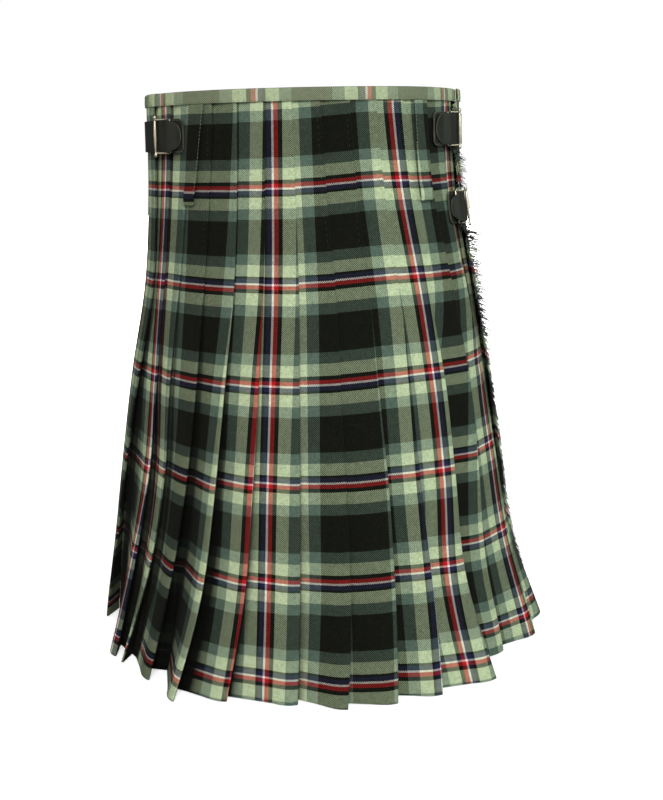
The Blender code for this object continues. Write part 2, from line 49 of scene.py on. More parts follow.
# %% [markdown]
# ## The camera
# The kilt stands filled out, as on a hidden form, and is seen square on from behind, a little from above.
# A camera can be turned with angles, but a matrix made from its own right, up and backward directions says
# exactly how it sits, also when it leans by a degree or so.

# %% Camera
CAMERA_PLACE = Vector((0.0, -1.225, -0.055))
CAMERA_PITCH = math.radians(13.3)
CAMERA_ROLL = math.radians(-1.2)
SENSOR_MM = 36.0
FOCAL_MM = 58.64
SIDE_SHIFT = 0.0314

level_right = Vector((1.0, 0.0, 0.0))
forward = Vector((0.0, math.cos(CAMERA_PITCH), -math.sin(CAMERA_PITCH)))
level_up = level_right.cross(forward)
camera_right = level_right * math.cos(CAMERA_ROLL) + level_up * math.sin(CAMERA_ROLL)
camera_up = camera_right.cross(forward)
camera_data = bpy.data.cameras.new("studio_camera")
camera_data.sensor_fit = "HORIZONTAL"
camera_data.sensor_width = SENSOR_MM
camera_data.lens = FOCAL_MM
camera_data.shift_x = SIDE_SHIFT
camera = bpy.data.objects.new("studio_camera", camera_data)
bpy.context.scene.collection.objects.link(camera)
turned = Matrix((camera_right, camera_up, -forward)).transposed().to_4x4()
camera.matrix_world = Matrix.Translation(CAMERA_PLACE) @ turned
bpy.context.scene.camera = camera
print("camera", round(CAMERA_PLACE.length, 3), "m from the middle of the waist")

# %% [markdown]
# ## The form under the cloth
# Real pleats lie on a body: narrow and round at the waist, wider at the seat, and swinging free at the hem.
# The form is a stack of ovals whose half widths and half depths are named here. It could be a modelled
# body, but four numbers a height are enough, and every piece can then be placed by an angle and a height.
# Angles are in degrees, 0 at the centre back, growing to the wearer's right.

# %% Sizes and the form
LENGTH = 0.606
FELL = 0.190
CLOTH = 0.0012
SEAM = 0.0003
PLEAT_LAYER = 0.0017
UNDERFOLD = 0.026
UNDERFOLD_SHARE = 0.80
OVER_APRON = 0.0052
UNDER_APRON = 0.0
BAND_HEIGHT = 0.013
BAND_OUTSIDE_PLEATS = 0.0018
BAND_INSIDE_PLEATS = -0.0088
BAND_INSIDE_UNDER = -0.0016
BAND_INSIDE_OVER = OVER_APRON - CLOTH - SEAM
BAND_OUTSIDE_OVER = OVER_APRON + CLOTH + SEAM
# Height, then half widths at the wearer's left and right, then half depths at the back and the front.
FORM = (
    (0.000, 0.1660, 0.1685, 0.128, 0.122),
    (-0.100, 0.1690, 0.1725, 0.128, 0.127),
    (-0.200, 0.1780, 0.1875, 0.140, 0.136),
    (-0.300, 0.1980, 0.1985, 0.163, 0.147),
    (-0.400, 0.2145, 0.2140, 0.184, 0.158),
    (-0.500, 0.2295, 0.2310, 0.206, 0.169),
    (-LENGTH, 0.2475, 0.2650, 0.232, 0.182),
)
FORM_HEIGHTS = [row[0] for row in FORM]
print("waist", round(2 * FORM[0][1], 3), "m wide, hem", round(FORM[-1][1] + FORM[-1][2], 3), "m wide")

# %% [markdown]
# ## Points on the form
# A smooth curve through the ovals gives a size at every height, so no edge shows where two ovals meet. The
# two straps on the wearer's right pull the cloth in a little, and that dent is taken off at the same time.
# Every piece then asks one function for a point at an angle, a height and a distance out from the form.

# %% Points on the form
DRAWN_IN = 0.0065
DRAWN_IN_STARTS = (35.0, 68.0)
DRAWN_IN_ENDS = (108.0, 150.0)
DRAWN_IN_HEIGHTS = (-0.31, -0.18)


def share_of(x, start, end):
    """0 up to start, 1 past end, and growing evenly from one to the other."""
    return min(max((x - start) / (end - start), 0.0), 1.0)


def eased(x, start, end):
    """0 before start, 1 after end, and a smooth step between."""
    t = share_of(x, start, end)
    return t * t * (3 - 2 * t)


def smooth(x, knots, values):
    """The value at x on a smooth curve through the values, for knots that only grow or only shrink."""
    last = len(knots) - 1
    index = 0
    while index < last - 1 and (x - knots[index + 1]) * (knots[last] - knots[0]) > 0:
        index += 1

    def slope(i):
        low, high = max(i - 1, 0), min(i + 1, last)
        return (values[high] - values[low]) / (knots[high] - knots[low])

    width = knots[index + 1] - knots[index]
    t = share_of(x, knots[index], knots[index + 1])
    start, end = values[index], values[index + 1]
    return (
        (2 * t**3 - 3 * t**2 + 1) * start
        + (t**3 - 2 * t**2 + t) * width * slope(index)
        + (3 * t**2 - 2 * t**3) * end
        + (t**3 - t**2) * width * slope(index + 1)
    )


def half_sizes(angle, height):
    """Half width and half depth of the form on the side where the angle lies."""
    turn = math.radians(angle)
    side = 2 if math.sin(turn) >= 0 else 1
    depth = 3 if math.cos(turn) >= 0 else 4
    return [smooth(height, FORM_HEIGHTS, [row[column] for row in FORM]) for column in (side, depth)]


def drawn_in(angle, height):
    """How far the two straps on the wearer's right draw the cloth in."""
    turn = angle % 360.0
    across = eased(turn, *DRAWN_IN_STARTS) * (1.0 - eased(turn, *DRAWN_IN_ENDS))
    return DRAWN_IN * across * share_of(height, *DRAWN_IN_HEIGHTS)


def on_form(angle, height, out=0.0):
    """The point at this angle and height, moved straight out from the form."""
    width, depth = half_sizes(angle, height)
    turn = math.radians(angle)
    outward = Vector((depth * math.sin(turn), -width * math.cos(turn), 0)).normalized()
    on_oval = Vector((width * math.sin(turn), -depth * math.cos(turn), height))
    return on_oval + outward * (out - drawn_in(angle, height))


def outward_at(angle, height):
    """The direction straight out from the form."""
    return (on_form(angle, height, 0.01) - on_form(angle, height)).normalized()


def degrees_along(length, angle, height):
    """The turn in degrees that covers this length of the form near the angle."""
    width, depth = half_sizes(angle, height)
    turn = math.radians(angle)
    return math.degrees(length / math.hypot(width * math.cos(turn), depth * math.sin(turn)))


def inward_of(direction, outward):
    """The plan direction square to this one that points into the kilt."""
    square = Vector((direction.y, -direction.x, 0)).normalized()
    return -square if square.dot(outward) > 0 else square


print("drawn in under the straps by", round(drawn_in(85.0, -0.1) * 1000, 1), "mm")

# %% [markdown]
# ## Where the pleats fold
# Each pleat is a flat face that ends in a pressed edge, then turns back under itself. A maker chalks every
# edge twice, at the waist and at the hip, and below the stitching the edge hangs as it likes. So each fold
# is a row of angles at six heights, with how far it swings out at the hem and how far it stands off there.

# %% Fold tables
FOLD_HEIGHTS = (-0.020, -0.200, -0.300, -0.400, -0.500, -LENGTH)
PLEATS = (
    (-57.0, -61.5, -57.4, -55.8, -58.5, -61.5, 0.009, 0.018),
    (-45.5, -50.8, -49.5, -47.7, -50.6, -57.2, 0.008, 0.018),
    (-34.5, -38.1, -37.5, -38.4, -41.0, -44.5, 0.010, 0.028),
    (-24.4, -26.0, -27.0, -28.0, -29.2, -32.7, 0.029, 0.024),
    (-14.3, -15.4, -16.0, -17.0, -18.3, -21.6, 0.008, 0.011),
    (-4.8, -3.6, -3.7, -3.8, -4.1, -4.8, 0.002, 0.012),
    (4.8, 8.0, 8.5, 8.8, 8.6, 6.1, 0.014, 0.013),
    (14.9, 18.8, 20.2, 20.9, 20.1, 17.0, 0.013, 0.018),
    (24.6, 29.4, 31.2, 31.1, 30.8, 27.5, 0.014, 0.014),
    (35.1, 41.4, 45.3, 44.2, 41.9, 42.1, 0.018, 0.044),
    (45.6, 56.0, 60.1, 58.5, 56.4, 55.6, -0.014, 0.012),
    (59.5, 70.0, 73.3, 77.0, 75.5, 70.0, 0.003, 0.017),
    (71.5, 80.5, 84.5, 90.0, 90.0, 85.5, 0.006, 0.015),
    (82.0, 91.5, 98.0, 104.0, 103.0, 99.0, 0.003, 0.012),
)
APRON_FOLD = (-68.0, -67.5, -69.5, -73.5, -78.0, -88.0, 0.020)
RIGHT_SEAM = (92.0, 103.0, 110.0, 116.0, 115.0, 111.0)
FRINGED_EDGE = (76.0, 79.0, 86.0, 93.0, 98.0, 103.0)
UNDER_EDGE = (258.0, 256.0, 255.0, 254.0, 252.0, 250.0)
APRON_RETURN = 0.026
SLIT_BACK = 14.5
SLIT_FRONT = 22.5
SLIT_TOP = -0.025
SLIT_BOTTOM = -0.062
OPENING_POWER = 1.15
SWING_POWER = 3
RETURN_SHARE = 0.55


def angle_at(row, height):
    return smooth(height, FOLD_HEIGHTS, row[: len(FOLD_HEIGHTS)])


def below_fell(height):
    """0 while the pleats are stitched down, growing evenly to 1 at the hem."""
    return max(0.0, -height - FELL) / (LENGTH - FELL)


def opening_share(height):
    """Share of the hem's opening between the layers of a pleat."""
    return below_fell(height) ** OPENING_POWER


def fold_out(row, height):
    """How far a pleat's fold swings out from the form."""
    return row[-2] * below_fell(height) ** SWING_POWER


def pleat_lift(row, height):
    """How far a pleat's fold stands above the face next to it."""
    stitched = 2 * PLEAT_LAYER
    return stitched + (row[-1] - stitched) * opening_share(height)


def apron_fold_lift(height):
    """How far the first pleat lies below the over apron's fold."""
    stitched = OVER_APRON - BAND_OUTSIDE_PLEATS + CLOTH + SEAM
    return stitched + (APRON_FOLD[-1] - stitched) * opening_share(height)


def apron_return_end(height):
    """(angle, out) of the end of the over apron's turned-back part."""
    fold = angle_at(APRON_FOLD, height)
    out = OVER_APRON - PLEAT_LAYER - RETURN_SHARE * (apron_fold_lift(height) - apron_fold_lift(0.0))
    return fold - degrees_along(APRON_RETURN, fold, height), out


print("pleats:", len(PLEATS))

# %% [markdown]
# ## The tartan's thread count
# Tartan is a list of coloured threads that runs forward, then backward, over and over, the same in the
# warp and the weft. An image could carry it, but the list itself is sharper and weighs nothing: one half
# of the repeat is written as threads of each colour, and a colour ramp with hard steps becomes the
# warping board. The pivots, where the list turns round, are the two black blocks.

# %% The sett
HALF_SETT = (
    ("black", 36.5),
    ("teal", 22.0),
    ("light", 24.0),
    ("black", 8.0),
    ("red", 8.0),
    ("white", 4.0),
    ("navy", 9.0),
    ("black", 5.0),
    ("light", 24.0),
    ("teal", 22.0),
    ("black", 36.5),
)
HALF_THREADS = sum(count for _, count in HALF_SETT)
WARP_PITCH = 0.1117 / HALF_THREADS
WEFT_PITCH = 0.1000 / HALF_THREADS
YARNS = {
    "black": (0.0043, 0.0049, 0.0030),
    "teal": (0.070, 0.104, 0.079),
    "light": (0.400, 0.475, 0.290),
    "red": (0.400, 0.010, 0.012),
    "white": (0.800, 0.700, 0.640),
    "navy": (0.012, 0.013, 0.045),
}
# A UV map keeps small numbers best, so it counts the threads in hundreds.
THREADS_PER_UNIT = 100.0
print("threads in the half sett:", HALF_THREADS, "pitch", round(WARP_PITCH * 1000, 3), "mm")

# %% [markdown]
# ## Small helpers for node trees
# A material is a tree of nodes. It could be drawn in the Shader Editor, node by node, but the same few
# nodes come back in every material here, so each gets a short helper: sums, mixes, noise, a bump and a
# group. An input takes a number or a colour, or a link from another node, and one helper does either.


# %% Small helpers for node trees
def add_node(tree, kind, **settings):
    node = tree.nodes.new(kind)
    for name, value in settings.items():
        setattr(node, name, value)
    return node


def feed(tree, socket, value):
    """Sets a socket to a number or colour, or links another node's output to it."""
    if isinstance(value, (int, float, tuple)):
        socket.default_value = value
    else:
        tree.links.new(value, socket)


def feed_all(tree, node, values):
    for name, value in values.items():
        feed(tree, node.inputs[name], value)


def maths(tree, operation, *values):
    node = add_node(tree, "ShaderNodeMath", operation=operation)
    for socket, value in zip(node.inputs, values):
        feed(tree, socket, value)
    return node.outputs[0]


def mix_colours(tree, factor, first, second, blend="MIX"):
    node = add_node(tree, "ShaderNodeMix", data_type="RGBA", blend_type=blend)
    for index, value in ((0, factor), (6, first), (7, second)):
        feed(tree, node.inputs[index], value)
    return node.outputs[2]


def grey_of(tree, value):
    """A colour with this value in all three channels."""
    node = add_node(tree, "ShaderNodeCombineColor")
    for socket in node.inputs:
        feed(tree, socket, value)
    return node.outputs[0]


def shaded_by(tree, colour, factor):
    return mix_colours(tree, 1.0, colour, grey_of(tree, factor), "MULTIPLY")


def gamma(tree, colour, power):
    node = add_node(tree, "ShaderNodeGamma")
    feed_all(tree, node, {"Color": colour, "Gamma": power})
    return node.outputs[0]


def noise(tree, vector, scale, detail, roughness):
    node = add_node(tree, "ShaderNodeTexNoise")
    feed_all(tree, node, {"Vector": vector, "Scale": scale, "Detail": detail, "Roughness": roughness})
    return node.outputs[0]


def object_place(tree):
    return add_node(tree, "ShaderNodeTexCoord").outputs["Object"]


def uv_value(tree, uv_map, side):
    """The first (0) or second (1) number of a UV map."""
    split = add_node(tree, "ShaderNodeSeparateXYZ")
    feed(tree, split.inputs[0], add_node(tree, "ShaderNodeUVMap", uv_map=uv_map).outputs[0])
    return split.outputs[side]


def add_bump(tree, shader, height, strength, metres):
    bump = add_node(tree, "ShaderNodeBump")
    feed_all(tree, bump, {"Strength": strength, "Distance": metres, "Height": height})
    feed(tree, shader.inputs["Normal"], bump.outputs[0])


def start_material(name, finish):
    """A material with these values on its Principled node; returns it with its tree and that node."""
    material = bpy.data.materials.new(name)
    material.use_nodes = True
    tree = material.node_tree
    shader = tree.nodes["Principled BSDF"]
    feed_all(tree, shader, finish)
    return material, tree, shader


def new_group(name, inputs, outputs):
    """A shader node group with named sockets; returns it with its input and output nodes."""
    group = bpy.data.node_groups.new(name, "ShaderNodeTree")
    for side, sockets in (("INPUT", inputs), ("OUTPUT", outputs)):
        for socket_name, kind in sockets:
            group.interface.new_socket(socket_name, in_out=side, socket_type="NodeSocket" + kind)
    return group, group.nodes.new("NodeGroupInput"), group.nodes.new("NodeGroupOutput")


# %% [markdown]
# ## Twill, as a node group
# Kilt cloth is a two-over, two-under twill: each thread floats over two others, one step further along in
# every row, so the surface shows fine diagonals and each crossing of two colours looks speckled. The group
# takes the two thread counts, finds which thread is on top, and gives out its colour and its height.
# It is built once and placed in every cloth, because all of them are woven the same way. From afar the eye
# mixes two colours to a darker one than their mean, so the threads of a crossing are dimmed to match.

# %% The twill group
EYE_GAMMA = 2.2
CROSSING_BLEND = 0.18
NAP_SCALE = 900.0
NAP_SHADE = 1.8
NAP_HEIGHT = 0.6
SLUB_SCALE = 260.0
SLUB_SHADE = 0.7
THREAD_EDGE_SHADE = 0.78
THREAD_ROUND_SHADE = 0.30
LINT_FROM = 0.62
LINT_COLOUR = (0.07, 0.08, 0.06, 1.0)


def yarn_ramp(tree, thread):
    """The colour of this thread of the sett: hard steps along the half sett, forward then backward."""
    place = maths(tree, "DIVIDE", maths(tree, "PINGPONG", thread, HALF_THREADS), HALF_THREADS)
    ramp = add_node(tree, "ShaderNodeValToRGB")
    ramp.color_ramp.interpolation = "CONSTANT"
    elements = ramp.color_ramp.elements
    elements.remove(elements[1])
    counted = 0.0
    for index, (yarn, count) in enumerate(HALF_SETT):
        stop = elements[0] if index == 0 else elements.new(counted / HALF_THREADS)
        stop.color = (*YARNS[yarn], 1.0)
        counted += count
    feed(tree, ramp.inputs[0], place)
    return ramp.outputs[0]


def seen_together(tree, first, second):
    """The even mix of two colours as the eye sees it from afar."""
    as_seen = [gamma(tree, colour, 1 / EYE_GAMMA) for colour in (first, second)]
    return gamma(tree, mix_colours(tree, 0.5, *as_seen), EYE_GAMMA)


def make_twill_group():
    group, entry, leave = new_group(
        "twill_weave",
        [("Threads", "Vector"), ("Place", "Vector"), ("Fuzz", "Float")],
        [("Color", "Color"), ("Height", "Float")],
    )
    split = add_node(group, "ShaderNodeSeparateXYZ")
    feed(group, split.inputs[0], entry.outputs["Threads"])
    warp = maths(group, "MULTIPLY", split.outputs[0], THREADS_PER_UNIT)
    weft = maths(group, "MULTIPLY", split.outputs[1], THREADS_PER_UNIT)
    warp_number = maths(group, "FLOOR", warp)
    weft_number = maths(group, "FLOOR", weft)
    step = maths(group, "FLOORED_MODULO", maths(group, "ADD", warp_number, weft_number), 4.0)
    warp_on_top = maths(group, "LESS_THAN", step, 1.5)
    warp_colour = yarn_ramp(group, maths(group, "ADD", warp_number, 0.5))
    weft_colour = yarn_ramp(group, maths(group, "ADD", weft_number, 0.5))
    on_top = mix_colours(group, warp_on_top, weft_colour, warp_colour)
    crossing = seen_together(group, warp_colour, weft_colour)
    plain_mean = mix_colours(group, 0.5, warp_colour, weft_colour)
    dimming = mix_colours(group, 1.0, crossing, plain_mean, "DIVIDE")
    speckled = mix_colours(group, 1.0, on_top, dimming, "MULTIPLY")
    colour = mix_colours(group, CROSSING_BLEND, speckled, crossing)

    across_warp = maths(group, "MULTIPLY", warp_on_top, maths(group, "SUBTRACT", warp, warp_number))
    weft_on_top = maths(group, "SUBTRACT", 1.0, warp_on_top)
    across_weft = maths(group, "MULTIPLY", weft_on_top, maths(group, "SUBTRACT", weft, weft_number))
    across = maths(group, "ADD", across_warp, across_weft)
    round_thread = maths(group, "SINE", maths(group, "MULTIPLY", across, math.pi))
    nap = noise(group, entry.outputs["Place"], NAP_SCALE, 3.0, 0.7)
    slub = noise(group, entry.outputs["Place"], SLUB_SCALE, 2.0, 0.7)
    height = maths(group, "ADD", round_thread, maths(group, "MULTIPLY", nap, NAP_HEIGHT))

    shade = maths(group, "MULTIPLY_ADD", round_thread, THREAD_ROUND_SHADE, THREAD_EDGE_SHADE)
    fleck = maths(group, "MULTIPLY_ADD", maths(group, "SUBTRACT", nap, 0.5), NAP_SHADE, 1.0)
    uneven = maths(group, "MULTIPLY_ADD", maths(group, "SUBTRACT", slub, 0.5), SLUB_SHADE, 1.0)
    shade = maths(group, "MULTIPLY", shade, maths(group, "MULTIPLY", fleck, uneven))
    lint = maths(group, "MULTIPLY", maths(group, "GREATER_THAN", nap, LINT_FROM), entry.outputs["Fuzz"])
    fuzzy = mix_colours(group, lint, shaded_by(group, colour, shade), LINT_COLOUR)
    feed_all(group, leave, {"Color": fuzzy, "Height": height})
    return group


twill_weave = make_twill_group()
print("nodes in the twill group:", len(twill_weave.nodes))

# %% [markdown]
# ## Cloth materials
# The same wool is dressed a little differently where it is used: the body cloth is napped and matt, and the
# waistband is rubbed paler by the belt. Deep between the pleats hardly any light comes back, so there the
# colour is painted near black as shade. That painted shade needs more than a number, so the pleated cloth
# carries a second UV map that says how deep each point lies in the painted shade of its pocket.
# The group gives the pattern, and each material keeps its own roughness, sheen and bump, because gloss
# belongs to the surface and not to the pattern.

# %% Cloth materials
THREAD_RELIEF = 0.00018
RUBBED_WOOL = (0.185, 0.200, 0.125, 1.0)
# Painted shade: the near-black colour that the pleated cloth is mixed toward deep in its pockets.
POCKET_PAINTED_SHADE = (0.0012, 0.0012, 0.0010, 1.0)
WOOL_FINISH = {
    "Roughness": 0.92,
    "Specular IOR Level": 0.06,
    "Sheen Roughness": 0.55,
    "Sheen Tint": (0.75, 0.80, 0.70, 1.0),
}


def make_cloth_material(name, fuzz, sheen, worn=0.0, paints_pocket_shade=False):
    material, tree, shader = start_material(name, {**WOOL_FINISH, "Sheen Weight": sheen})
    threads = add_node(tree, "ShaderNodeUVMap", uv_map="threads")
    weave = add_node(tree, "ShaderNodeGroup", node_tree=twill_weave)
    feed_all(tree, weave, {"Threads": threads.outputs[0], "Place": object_place(tree), "Fuzz": fuzz})
    colour = mix_colours(tree, worn, weave.outputs["Color"], RUBBED_WOOL)
    # Painted shade: the pocket UV map mixes the cloth toward near black between the pleats.
    if paints_pocket_shade:
        colour = mix_colours(tree, uv_value(tree, "pocket", 0), colour, POCKET_PAINTED_SHADE)
    feed(tree, shader.inputs["Base Color"], colour)
    add_bump(tree, shader, weave.outputs["Height"], 0.55, THREAD_RELIEF)
    return material


tartan_wool = make_cloth_material("tartan_wool", 0.10, 0.02)
pleat_wool = make_cloth_material("pleated_wool", 0.10, 0.02, paints_pocket_shade=True)
band_wool = make_cloth_material("waistband_wool", 0.30, 0.04, worn=0.35)
print("cloth materials:", tartan_wool.name, pleat_wool.name, band_wool.name)

# %% [markdown]
# ## Selecting, editing and applying
# Operators work on what is selected and active, as a hand does in the window. Everything is deselected
# first, so that an operator never reaches a piece that is already finished.


# %% Selecting, editing and applying
def deselect_all():
    if bpy.context.mode != "OBJECT":
        bpy.ops.object.mode_set(mode="OBJECT")
    bpy.ops.object.select_all(action="DESELECT")


def make_active(obj):
    deselect_all()
    obj.select_set(True)
    bpy.context.view_layer.objects.active = obj


def edit_whole(obj, operator, **settings):
    """Runs an edit mode operator on the whole of a mesh."""
    make_active(obj)
    bpy.ops.object.mode_set(mode="EDIT")
    bpy.ops.mesh.select_all(action="SELECT")
    operator(**settings)
    bpy.ops.object.mode_set(mode="OBJECT")


def face_outwards(obj):
    edit_whole(obj, bpy.ops.mesh.normals_make_consistent, inside=False)


def finish_mesh(obj, smooth_degrees):
    """Applies the modifiers and shades smooth, except where faces meet at more than this angle."""
    make_active(obj)
    for modifier in list(obj.modifiers):
        bpy.ops.object.modifier_apply(modifier=modifier.name)
    bpy.ops.object.shade_smooth_by_angle(angle=math.radians(smooth_degrees))


def mesh_object(name, points, faces, material):
    mesh = bpy.data.meshes.new(name)
    mesh.from_pydata([tuple(point) for point in points], [], faces)
    mesh.materials.append(material)
    obj = bpy.data.objects.new(name, mesh)
    bpy.context.scene.collection.objects.link(obj)
    return obj


def add_uv_map(obj, name, values):
    """A UV map from one pair of numbers for each corner of each face."""
    layer = obj.data.uv_layers.new(name=name)
    layer.data.foreach_set("uv", values.astype(np.float32).ravel())


# %% [markdown]
# ## A sheet that knows its threads
# Every cloth piece is a grid of points. Each point also carries its warp and weft thread count, which is
# stored as a UV map, so that the pattern follows every fold and never slides. A cloth simulation could
# find the folds, but pressed and stitched pleats are placed by the maker, so here they are listed.
# The grid is given its thickness by Solidify, and the modifier is applied.


# %% Sheet builder
def grid_array(points):
    return np.array([[tuple(point) for point in row] for row in points], float)


def both_sides(values):
    """Thread counts that have no step in them, ready for weave_sheet."""
    return np.repeat(np.array(values, float)[:, :, None], 2, axis=2)


def weave_sheet(name, points, warp, weft, material, holes=(), pocket=None):
    """A cloth piece from a grid of points. warp and weft are thread counts for each point, as
    [row][column][side]: side 0 is read by the cells on its left, and side 1 by the cells on its right."""
    points = grid_array(points)
    row_count, column_count = points.shape[:2]
    faces, counts = [], []
    for r in range(row_count - 1):
        for c in range(column_count - 1):
            if (r, c) in holes:
                continue
            corner = r * column_count + c
            faces.append((corner, corner + column_count, corner + column_count + 1, corner + 1))
            counts += [(r, c, 1), (r + 1, c, 1), (r + 1, c + 1, 0), (r, c + 1, 0)]
    obj = mesh_object(name, points.reshape(-1, 3), faces, material)
    rows, columns, sides = np.array(counts).T
    threads = np.stack([warp[rows, columns, sides], weft[rows, columns, sides]], axis=1)
    add_uv_map(obj, "threads", threads / THREADS_PER_UNIT)
    if pocket is not None:
        add_uv_map(obj, "pocket", np.stack([pocket[rows, columns]] * 2, axis=1))
    if holes:
        edit_whole(obj, bpy.ops.mesh.delete_loose, use_verts=True, use_edges=True, use_faces=False)
    solid = obj.modifiers.new("thickness", "SOLIDIFY")
    solid.thickness = CLOTH
    solid.offset = 0.0
    solid.use_even_offset = False
    finish_mesh(obj, 50)
    return obj


def flat_cut(points):
    """(width at the hem, length, area) of a grid of points, laid flat."""
    points = grid_array(points)
    across = np.linalg.norm(np.diff(points, axis=1), axis=2).sum(axis=1)
    down = np.linalg.norm(np.diff(points, axis=0), axis=2).sum(axis=0)
    steps_down = -np.diff(points[:, 0, 2])
    area = float(((across[1:] + across[:-1]) / 2 * steps_down).sum())
    return float(across.max()), float(down.max()), area


SOLID_ROWS = (-0.002, SLIT_TOP, SLIT_BOTTOM, -0.12, -0.18, -0.24, -0.31, -0.38, -0.45, -0.52, -0.57, -LENGTH)
ROWS_BETWEEN = (4, 6, 10, 10, 10, 12, 12, 11, 11, 8, 7)
ROWS = [SOLID_ROWS[0]]
for upper, lower, count in zip(SOLID_ROWS, SOLID_ROWS[1:], ROWS_BETWEEN):
    ROWS += [upper + (lower - upper) * step / count for step in range(1, count + 1)]
print("rows of points down the cloth:", len(ROWS))

# %% [markdown]
# ## Which thread lies on which fold
# The pleater chooses where in the tartan each fold falls, and the cloth eases sideways under the pressing
# lower down. The table gives the warp's place at each fold at the six heights, as a distance from a black
# pivot, and the height of each red and white line of the weft on each face. All the rest follows from them.

# %% Thread charts
FOLD_WARP = (
    (63.0, 61.0, 58.0, 56.5, 61.0, 63.0),
    (-22.0, -24.0, -29.0, -33.0, -34.0, -34.0),
    (9.0, 5.5, 4.0, 3.5, 3.0, 3.0),
    (23.0, 31.5, 35.0, 38.5, 41.0, 42.0),
    (46.5, 50.0, 53.5, 54.5, 53.0, 50.5),
    (-38.3, -31.5, -27.8, -24.0, -22.3, -21.8),
    (-13.0, -4.5, -0.5, 4.5, 8.5, 10.5),
    (14.5, 19.5, 21.0, 22.5, 23.5, 23.5),
    (152.0, 156.0, 159.5, 162.0, 164.5, 165.5),
    (66.5, 66.0, 70.0, 70.5, 75.0, 85.0),
    (94.0, 106.0, 133.0, 146.0, 151.5, 153.0),
    (142.0, 150.0, 172.0, 183.5, 182.5, 178.0),
    (180.0, 188.0, 193.0, 197.0, 204.0, 214.0),
    (240.0, 240.0, 240.0, 240.0, 240.0, 240.0),
)
RED_LINE_THREADS = (96.5, 301.5, 494.5, 699.5, 892.5, 1097.5)
# Heights in millimetres below the top edge, then how much lower they lie at the face's hidden side.
RED_LINES = (
    (96, 196, 290, 392, 484, 586, 1),
    (97, 195, 291, 390, 485, 586, 0),
    (97, 196, 291, 392, 486, 587, 0),
    (97, 197, 292, 396, 489, 586, 0),
    (96, 194, 291, 393, 488, 585, 0),
    (95, 195, 291, 392, 487, 584, 0),
    (93, 192, 289, 391, 486, 586, 1.5),
    (90, 189, 287, 391, 487, 586, 2.5),
    (88, 188, 286, 388, 485, 584, 1.5),
    (90, 189, 287, 390, 486, 585, 0),
    (91, 190, 287, 386, 479, 579, 0),
    (94, 192, 285, 386, 484, 582, 1),
    (93, 190, 288, 388, 486, 584, 0),
    (93, 190, 288, 388, 486, 584, 0),
)
TOP_PITCH_MM = 0.48
HEM_PITCH_MM = 0.50


def weft_count(lines, height):
    """The weft thread at this height, for a row of heights of the red lines."""
    depth = -height * 1000
    if depth < lines[0]:
        return RED_LINE_THREADS[0] - (lines[0] - depth) / TOP_PITCH_MM
    if depth > lines[5]:
        return RED_LINE_THREADS[5] + (depth - lines[5]) / HEM_PITCH_MM
    return float(np.interp(depth, lines[:6], RED_LINE_THREADS))


def fold_warp(index, height):
    """Metres of cloth from a black pivot to the thread on this pleat's fold."""
    return smooth(height, FOLD_HEIGHTS, FOLD_WARP[index]) / 1000


print("folds charted:", len(FOLD_WARP))

# %% [markdown]
# ## The pleated back
# A face is slightly crowned and ends in a pressed edge with a tight round turn. Behind it the cloth runs
# back a little way and returns, which is where the next face comes from. A real pleat hides a whole repeat
# of the tartan there. Only the first centimetres can be seen at the hem, so only they are modelled.

# %% The pleated back
FACE_STEPS = 16
TURN_STEPS = (45, 90, 135, 180)
TURN_RADIUS = PLEAT_LAYER / 2
CROWN_PLACES = (0.0, 0.25, 0.6, 1.0)
CROWN_SHARES = (0.0, 0.8, 1.0, 0.6, 0.0)
SEAM_ALLOWANCE = 0.008
WEFT_SLANT_WIDTH = 0.035
# How far the shade of each fold reaches over the next face, in millimetres at the hem.
POCKET_REACH = (8, 11, 11, 11, 8, 5, 4, 4, 4, 4, 3, 3, 3, 3)
POCKET_EDGE = 5


def pocket_strength(height):
    """The shade between the layers: none while they are sewn down, and nearly full soon below that."""
    return below_fell(height) ** 0.25


def pocket_depth(index, hidden, height):
    """The shade, 0 to 1, of a point so far from the hidden side of this pleat's face."""
    strength = pocket_strength(height)
    reach = POCKET_REACH[index] / 1000 * (0.35 + 0.65 * below_fell(height)) * strength
    return strength / (1 + (max(hidden, 0.0) / max(reach, 1e-5)) ** POCKET_EDGE)


